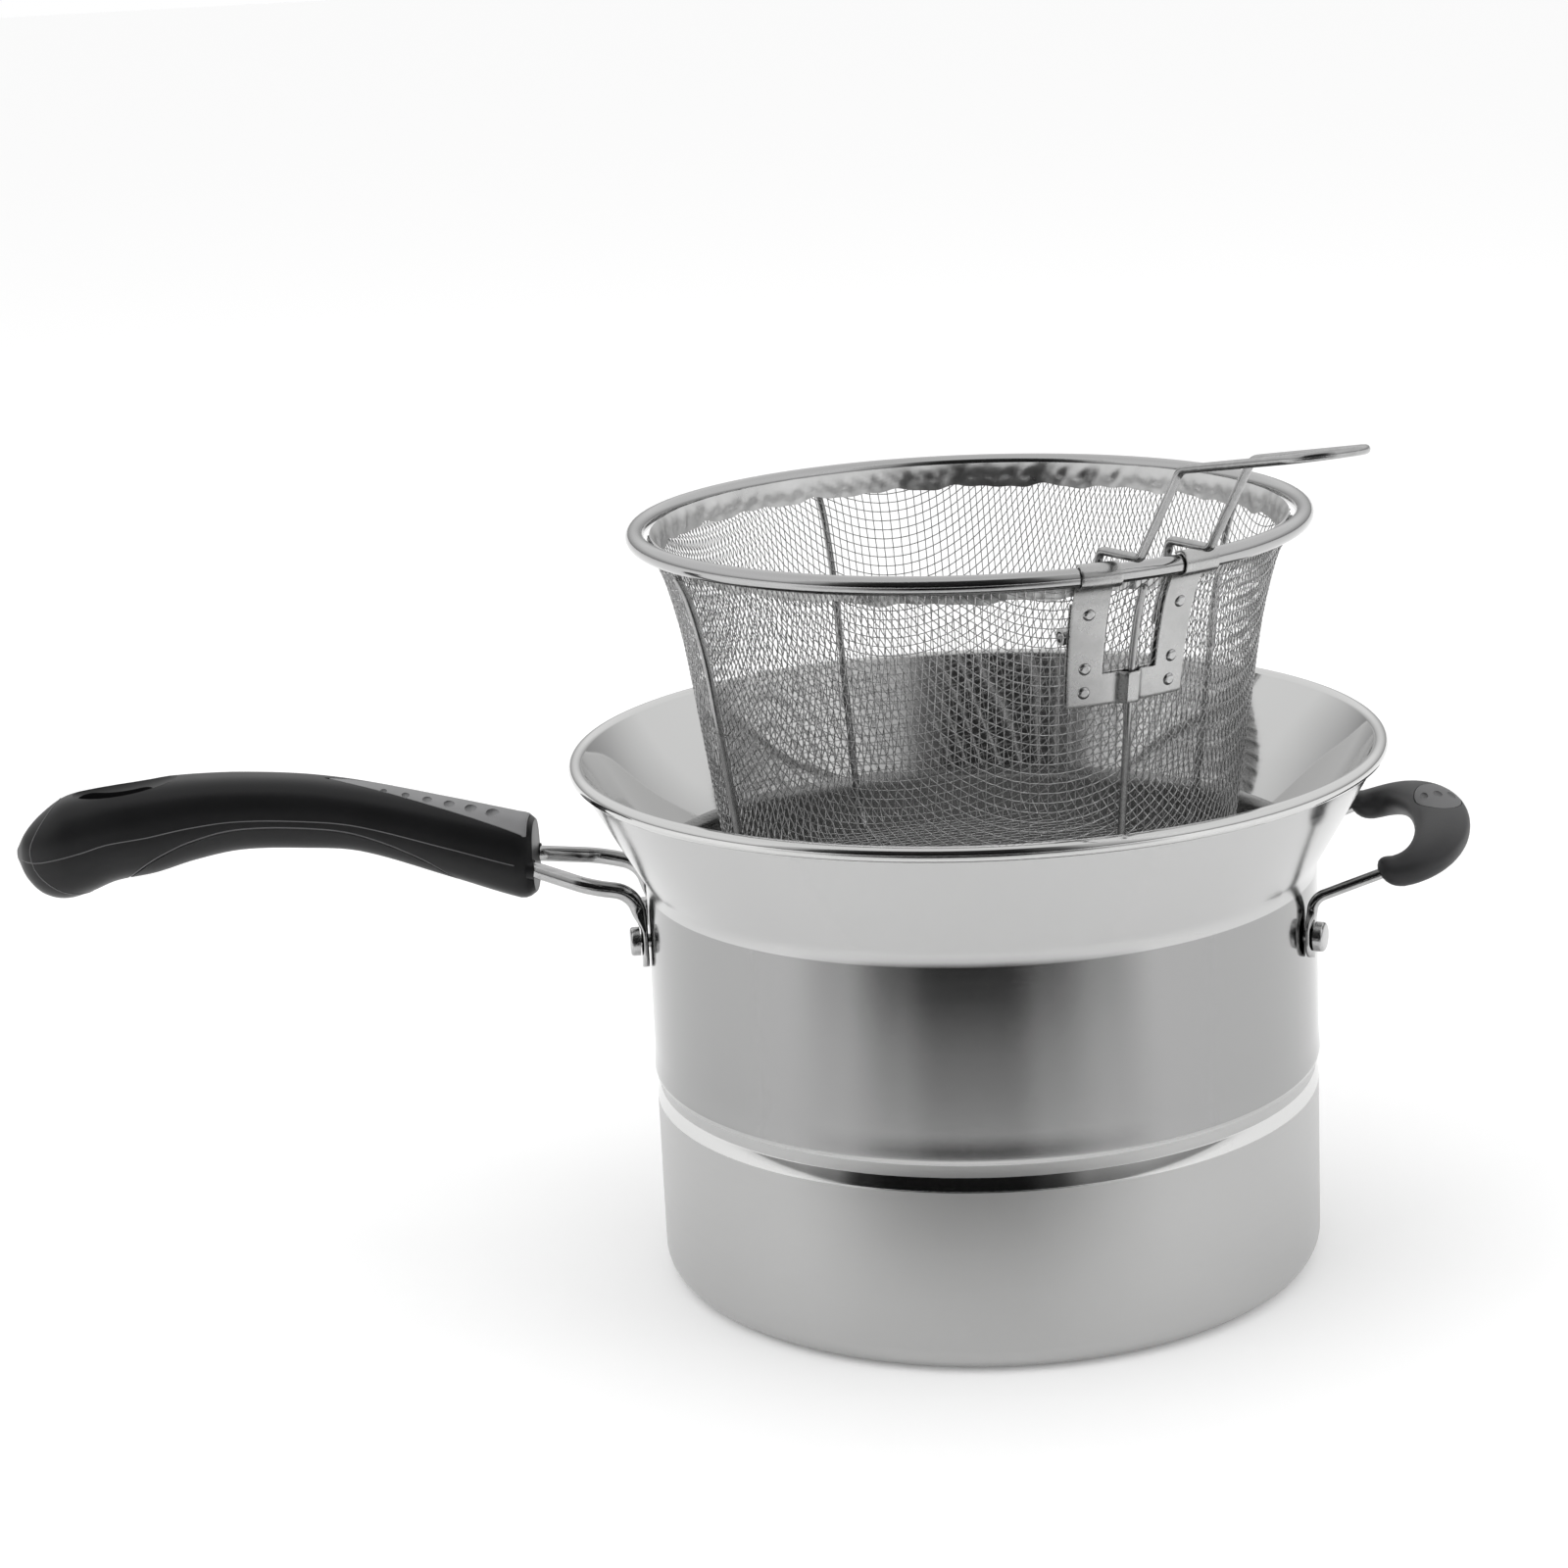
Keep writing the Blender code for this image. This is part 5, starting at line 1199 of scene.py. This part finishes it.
# Basket handle and its bracket
BACKING_TOP = 0.0078
BAR_ROWS = 8
BAR_SWELL_HALF = 0.0046
BRACKET_COLUMNS = 49
HINGE_DROP = 0.0168
BARREL_RADIUS = 0.0021
BARREL_LENGTH = 0.0062
HANDLE_RADIUS = 0.0011
HANDLE_SHOULDER = 0.0114
# Out and up from the shoulder to the elbow, then to the loop's end
HANDLE_RUNS = ((0.0180, 0.0236), (0.0500, 0.0090))
HANDLE_BENDS = (0.0016, 0.0064, 0.0032, 0.0032, 0.0064, 0.0088)
ARM_SPREAD = 0.0198
BARREL_START = ARM_SPREAD / 2.0 + HANDLE_RADIUS + GAP
BARREL_END = BARREL_START + BARREL_LENGTH
BARREL_SINK = 0.0004
BACKING_FACE = cloth_radius(HINGE_DROP) - CLOTH_THICKNESS - GAP * 1.3 - BRACKET_SHEET
HINGE_RADIUS = math.sqrt(BACKING_FACE**2 - BARREL_END**2) - BARREL_RADIUS + BARREL_SINK
TAB_RADIUS = RIM_TUBE + GAP + BRACKET_SHEET
PIN_DROPS = (0.0108, 0.0250, 0.0312)
PIN_HEAD = 0.0016
PIN_RADIUS = 0.0009
PIN_TAIL = 0.0005


def hinge_point(along, out, height):
    """A point in the bracket's own axes: along the hinge, out from the pot's axis, and up."""
    level = around(BRACKET_AZIMUTH) * along + outward(BRACKET_AZIMUTH) * out
    return level + UP * (BASKET_HEIGHT + height)


def arm_reach(drop):
    """How far out an arm of the handle lies against the inside, at a drop below the rim."""
    face = cloth_radius(drop) - CLOTH_THICKNESS - BRACKET_SHEET - GAP * 3.0 - HANDLE_RADIUS
    return math.sqrt(face**2 - (ARM_SPREAD / 2.0 + HANDLE_RADIUS) ** 2)


def make_basket_handle():
    """One wire: from a barrel up over the rim, out to the loop and back to the other barrel."""
    over = TAB_RADIUS + GAP * 2.0 + HANDLE_RADIUS
    aside = ARM_SPREAD / 2.0
    shoulder = BASKET_RADIUS + HANDLE_SHOULDER
    rise = over + 0.0006
    arm = [
        (BARREL_END + 0.0006, HINGE_RADIUS, -HINGE_DROP),
        (aside, HINGE_RADIUS, -HINGE_DROP),
        (aside, arm_reach(COLLAR_DROP), -COLLAR_DROP),
        (aside, arm_reach(0.0), over),
        (aside, shoulder, rise),
    ]
    out, height = shoulder, rise
    for run, climb in HANDLE_RUNS:
        out, height = out + run, height + climb
        arm.append((aside, out, height))
    left = [hinge_point(-along, out, height) for along, out, height in arm]
    right = [hinge_point(*place) for place in reversed(arm)]
    path = rounded(left + right, HANDLE_BENDS + HANDLE_BENDS[::-1])
    handle = wire("basket_handle_wire", path, HANDLE_RADIUS, 18)
    finish_mesh(handle, WIRE_STEEL, "basket_handle", "basket_handle")


def bracket_sheet(name, side):
    """A stamped sheet with two legs and a bar, curved to the cloth outside it or inside it."""
    half = BRACKET_WIDTH / 2.0
    bar_top = BRACKET_DROP - BRACKET_BAR
    top = RIM_TUBE * 1.9 if side > 0 else BACKING_TOP
    drops = list(np.linspace(BRACKET_DROP, bar_top, BAR_ROWS + 1))
    rows = []
    for drop in drops + list(np.linspace(bar_top, top, 16))[1:]:
        if side > 0:
            radius = cloth_radius(drop) + GAP + BRACKET_SHEET / 2.0
        else:
            radius = cloth_radius(drop) - CLOTH_THICKNESS - GAP * 1.3 - BRACKET_SHEET / 2.0
        rows.append((radius, -drop, drop))
    if side > 0:
        middle = RIM_TUBE + GAP + BRACKET_SHEET / 2.0
        wrap = arc((BASKET_RADIUS, 0.0), middle, -130.0, 125.0, 30)
        rows += [(radius, height, 0.0) for radius, height in wrap]
    columns = np.linspace(-half, half, BRACKET_COLUMNS)
    vertices, faces = [], []
    for radius, height, drop in rows:
        for s in columns:
            reach = radius
            if side > 0 and drop > bar_top - 0.0005:
                share = max(1.0 - abs(s) / BAR_SWELL_HALF, 0.0)
                bulge = min(1.5 * math.sin(share * math.pi / 2.0) ** 2, 1.0)
                reach += (2.0 * RIB_RADIUS + GAP) * bulge
            azimuth = BRACKET_AZIMUTH + s / BASKET_RADIUS
            vertices.append((*polar(reach, azimuth), BASKET_HEIGHT + height))
    across = len(columns)
    for k in range(len(rows) - 1):
        for i in range(across - 1):
            s = (columns[i] + columns[i + 1]) / 2.0
            if abs(s) < half - BRACKET_LEG_WIDTH and k >= BAR_ROWS:
                continue
            low, high = k * across + i, (k + 1) * across + i
            faces.append((low, low + 1, high + 1, high))
    sheet = tidy_normals(mesh_object(name, vertices, faces), weld=False)
    bevel = thickened(sheet, BRACKET_SHEET).modifiers.new("edge", "BEVEL")
    bevel.width = BRACKET_SHEET * 0.24
    bevel.segments = 2
    bevel.limit_method = "ANGLE"
    bevel.angle_limit = math.radians(50.0)
    return applied(sheet)


def make_bracket():
    """The sheet outside, the one inside with its two barrels, and six rivets through both."""
    sheet = bracket_sheet("bracket_outer", 1.0)
    finish_mesh(sheet, SHEET_STEEL, "basket", "handle_bracket", angle=40.0)
    backing = bracket_sheet("bracket_inner", -1.0)
    for sign in (-1.0, 1.0):
        start = hinge_point(sign * BARREL_START, HINGE_RADIUS, -HINGE_DROP)
        end = hinge_point(sign * BARREL_END, HINGE_RADIUS, -HINGE_DROP)
        barrel = tube("barrel", [start, end], [BARREL_RADIUS] * 2, 32)
        along = (end - start).normalized() * 0.001
        bore = tube("bore", [start - along, end + along], [HANDLE_RADIUS + GAP] * 2, 32)
        boolean(barrel, bore)
        boolean(backing, barrel, "UNION")
    finish_mesh(backing, SHEET_STEEL, "basket", "handle_backing_plate", angle=40.0)
    stack = 2.0 * BRACKET_SHEET + CLOTH_THICKNESS + GAP * 2.3 + 2.0 * GAP
    dome = [(0.0, 0.0007)] + arc((0.0, 0.0), PIN_HEAD, 60.0, 10.0, 6)
    dome = [(r, z * 0.45) for r, z in dome] + [(PIN_HEAD, GAP * 0.3), (PIN_RADIUS, GAP * 0.3)]
    dome += [(PIN_RADIUS, -stack), (PIN_HEAD, -stack)]
    dome += [(PIN_HEAD * 0.6, -stack - PIN_TAIL), (0.0, -stack - PIN_TAIL)]
    for number in range(1, 7):
        sign, drop = (-1.0 if number < 4 else 1.0), PIN_DROPS[(number - 1) % 3]
        azimuth = BRACKET_AZIMUTH + sign * (BRACKET_WIDTH - BRACKET_LEG_WIDTH) / 2.0 / BASKET_RADIUS
        fall = cloth_radius(drop - PIN_HEAD) - cloth_radius(drop + PIN_HEAD)
        pin = tidy_normals(lathe("pin_%d" % number, dome, 24, closed=False))
        face = cloth_radius(drop) + GAP + BRACKET_SHEET
        lean = math.atan2(fall, 2.0 * PIN_HEAD)
        pin.data.transform(radial(azimuth, face, BASKET_HEIGHT - drop, lean))
        finish_mesh(pin, RIVET_STEEL, "basket", "bracket_rivet_%d" % number, angle=40.0)


def set_camera():
    """The camera where the photograph was taken from."""
    data = bpy.data.cameras.new("camera")
    data.sensor_width = SENSOR_MM
    data.lens = FOCAL_PX / PICTURE_PX * SENSOR_MM
    data.clip_start = 0.01
    data.clip_end = 50.0
    camera = linked("camera", data)
    yaw, level = CAMERA_YAW, math.cos(CAMERA_PITCH)
    forward = Vector((math.sin(yaw) * level, math.cos(yaw) * level, -math.sin(CAMERA_PITCH)))
    right = Vector((math.cos(yaw), -math.sin(yaw), 0.0))
    up = right.cross(forward)
    turn_right = right * math.cos(CAMERA_ROLL) + up * math.sin(CAMERA_ROLL)
    turn_up = up * math.cos(CAMERA_ROLL) - right * math.sin(CAMERA_ROLL)
    camera.matrix_world = placed(turn_right, turn_up, -forward, CAMERA_AT)
    bpy.context.scene.camera = camera


def area_light(name, place, size, power):
    """A soft lamp turned to the pot that neither the camera nor a reflection sees."""
    data = bpy.data.lights.new(name, "AREA")
    data.shape = "RECTANGLE"
    data.size, data.size_y = size
    data.energy = power
    lamp = linked(name, data)
    lamp.location = place
    lamp.visible_camera = False
    lamp.visible_glossy = False
    lamp.rotation_euler = (Vector(LAMP_TARGET) - Vector(place)).to_track_quat("-Z", "Y").to_euler()


# Lamps: name, place, size and power
LAMP_TARGET = (0.0, 0.0, 0.1)
LAMPS = (
    ("key", (-0.9, -0.7, 1.5), (1.2, 1.2), 5.5),
    ("fill", (1.2, -0.5, 1.1), (0.9, 1.4), 3.2),
    ("top", (0.0, 0.3, 1.8), (1.6, 1.2), 4.0),
)
WHITE = (1.0, 1.0, 1.0, 1.0)
FLOOR_SIDES = 96
FLOOR_RADIUS = 12.0
# Greys of the surround in reflections, from straight down to straight up
SKY_GREYS = (
    (0.0, 0.60),
    (0.45, 0.60),
    (0.50, 0.30),
    (0.56, 0.55),
    (0.66, 0.95),
    (0.80, 1.0),
    (1.0, 0.9),
)
# Dark shapes that only reflections see: on the floor in front of the pot, and upright beyond
CARD_OUTLINE = ((-1.6, -1.2), (1.6, -1.2), (1.6, -0.1), (-1.6, -0.1))
UPRIGHT_OUTLINE = ((-2.6, 0.0), (2.6, 0.0), (2.6, 3.2), (-2.6, 3.2))
UPRIGHT_AT = -1.4
FLOOR_REACH = 1.6
# Darkness by bearing, then the floor's by its distance and the upright's by its height
CARD_BEARINGS = (
    (0.15, 0.0),
    (0.26, 0.22),
    (0.36, 0.66),
    (0.43, 0.97),
    (0.535, 0.97),
    (0.60, 0.62),
    (0.70, 0.28),
    (0.80, 0.0),
)
CARD_DISTANCES = (
    (0.090, 0.0),
    (0.130, 0.10),
    (0.200, 0.42),
    (0.235, 0.84),
    (0.252, 1.0),
    (0.55, 1.0),
    (0.75, 0.0),
)
UPRIGHT_BEARINGS = (
    (0.14, 0.0),
    (0.21, 0.22),
    (0.27, 0.80),
    (0.33, 0.96),
    (0.55, 0.96),
    (0.61, 0.75),
    (0.68, 0.25),
    (0.80, 0.0),
)
UPRIGHT_HEIGHTS = ((0.0, 0.95), (0.30, 0.92), (0.62, 0.85), (0.80, 0.45), (1.0, 0.0))


def shade(name, upright):
    """A dark patch that fades out to both sides, and towards the pot or upwards."""
    graph = Finish(name, (0.004, 0.004, 0.004), 1.0, 0.0)
    graph.set("Specular IOR Level", 0.0)
    x, y, z = graph.axes()[1:]
    bearing = graph.math("ARCTAN2", x, graph.math("MULTIPLY", y, -1.0))
    turn = graph.math("ADD", graph.math("DIVIDE", bearing, math.pi), 0.5)
    aside = graph.ramp(turn, UPRIGHT_BEARINGS if upright else CARD_BEARINGS, "EASE")
    if upright:
        fade = graph.ramp(graph.math("DIVIDE", z, UPRIGHT_OUTLINE[2][1]), UPRIGHT_HEIGHTS, "EASE")
    else:
        squares = graph.math("ADD", graph.math("POWER", x, 2.0), graph.math("POWER", y, 2.0))
        away = graph.math("DIVIDE", graph.math("SQRT", squares), FLOOR_REACH)
        fade = graph.ramp(away, CARD_DISTANCES, "EASE")
    graph.set("Alpha", graph.math("MULTIPLY", aside, fade))
    return graph.material


def set_stage():
    """A white round floor, a white surround for the eye and a graded one for reflections."""
    bpy.context.scene.view_settings.view_transform = "Standard"
    world = bpy.data.worlds.new("studio")
    bpy.context.scene.world = world
    graph = Graph(world)
    graph.tree.nodes.clear()
    place = graph.add("ShaderNodeTexCoord", {})
    height = graph.add("ShaderNodeSeparateXYZ", {0: place}, out=2)
    lift = graph.add("ShaderNodeMapRange", {0: height, "From Min": -1.0, "From Max": 1.0})
    graded = graph.add("ShaderNodeBackground", {0: graph.ramp(lift, SKY_GREYS)})
    seen = graph.add("ShaderNodeBackground", {0: WHITE, 1: 1.0})
    by_eye = graph.add("ShaderNodeLightPath", {})
    mix = graph.add("ShaderNodeMixShader", {0: by_eye, 1: graded, 2: seen})
    graph.add("ShaderNodeOutputWorld", {0: mix})

    edge = [(*polar(FLOOR_RADIUS, angle), 0.0) for angle in turns(FLOOR_SIDES)]
    floor = mesh_object("floor", edge, [tuple(range(FLOOR_SIDES))])
    white = Finish("floor_white", (0.90, 0.90, 0.90), 0.9, 0.0)
    white.set("Emission Color", WHITE)
    white.set("Emission Strength", 0.12)
    white.set("Specular IOR Level", 0.0)
    floor.data.materials.append(white.material)
    floor.location.z = POT_LOW.z - 0.0001
    upright = Matrix.Translation((0.0, UPRIGHT_AT, 0.0)) @ Matrix.Rotation(math.pi / 2.0, 4, "X")
    for name, outline, placement in (
        ("dark_card", CARD_OUTLINE, Matrix.Translation((0.0, 0.0, 0.002))),
        ("dark_upright", UPRIGHT_OUTLINE, upright),
    ):
        card = prism(outline, 0.001, placement)
        card.name = name
        card.data.materials.append(shade(name, outline is UPRIGHT_OUTLINE))
        card.visible_camera = card.visible_diffuse = card.visible_shadow = False
    for lamp in LAMPS:
        area_light(*lamp)


set_camera()
set_stage()
make_pot()
make_rim()
make_collar()
make_cloth()
make_ribs()
make_long_grip()
make_rods()
make_helper()
make_basket_handle()
make_bracket()
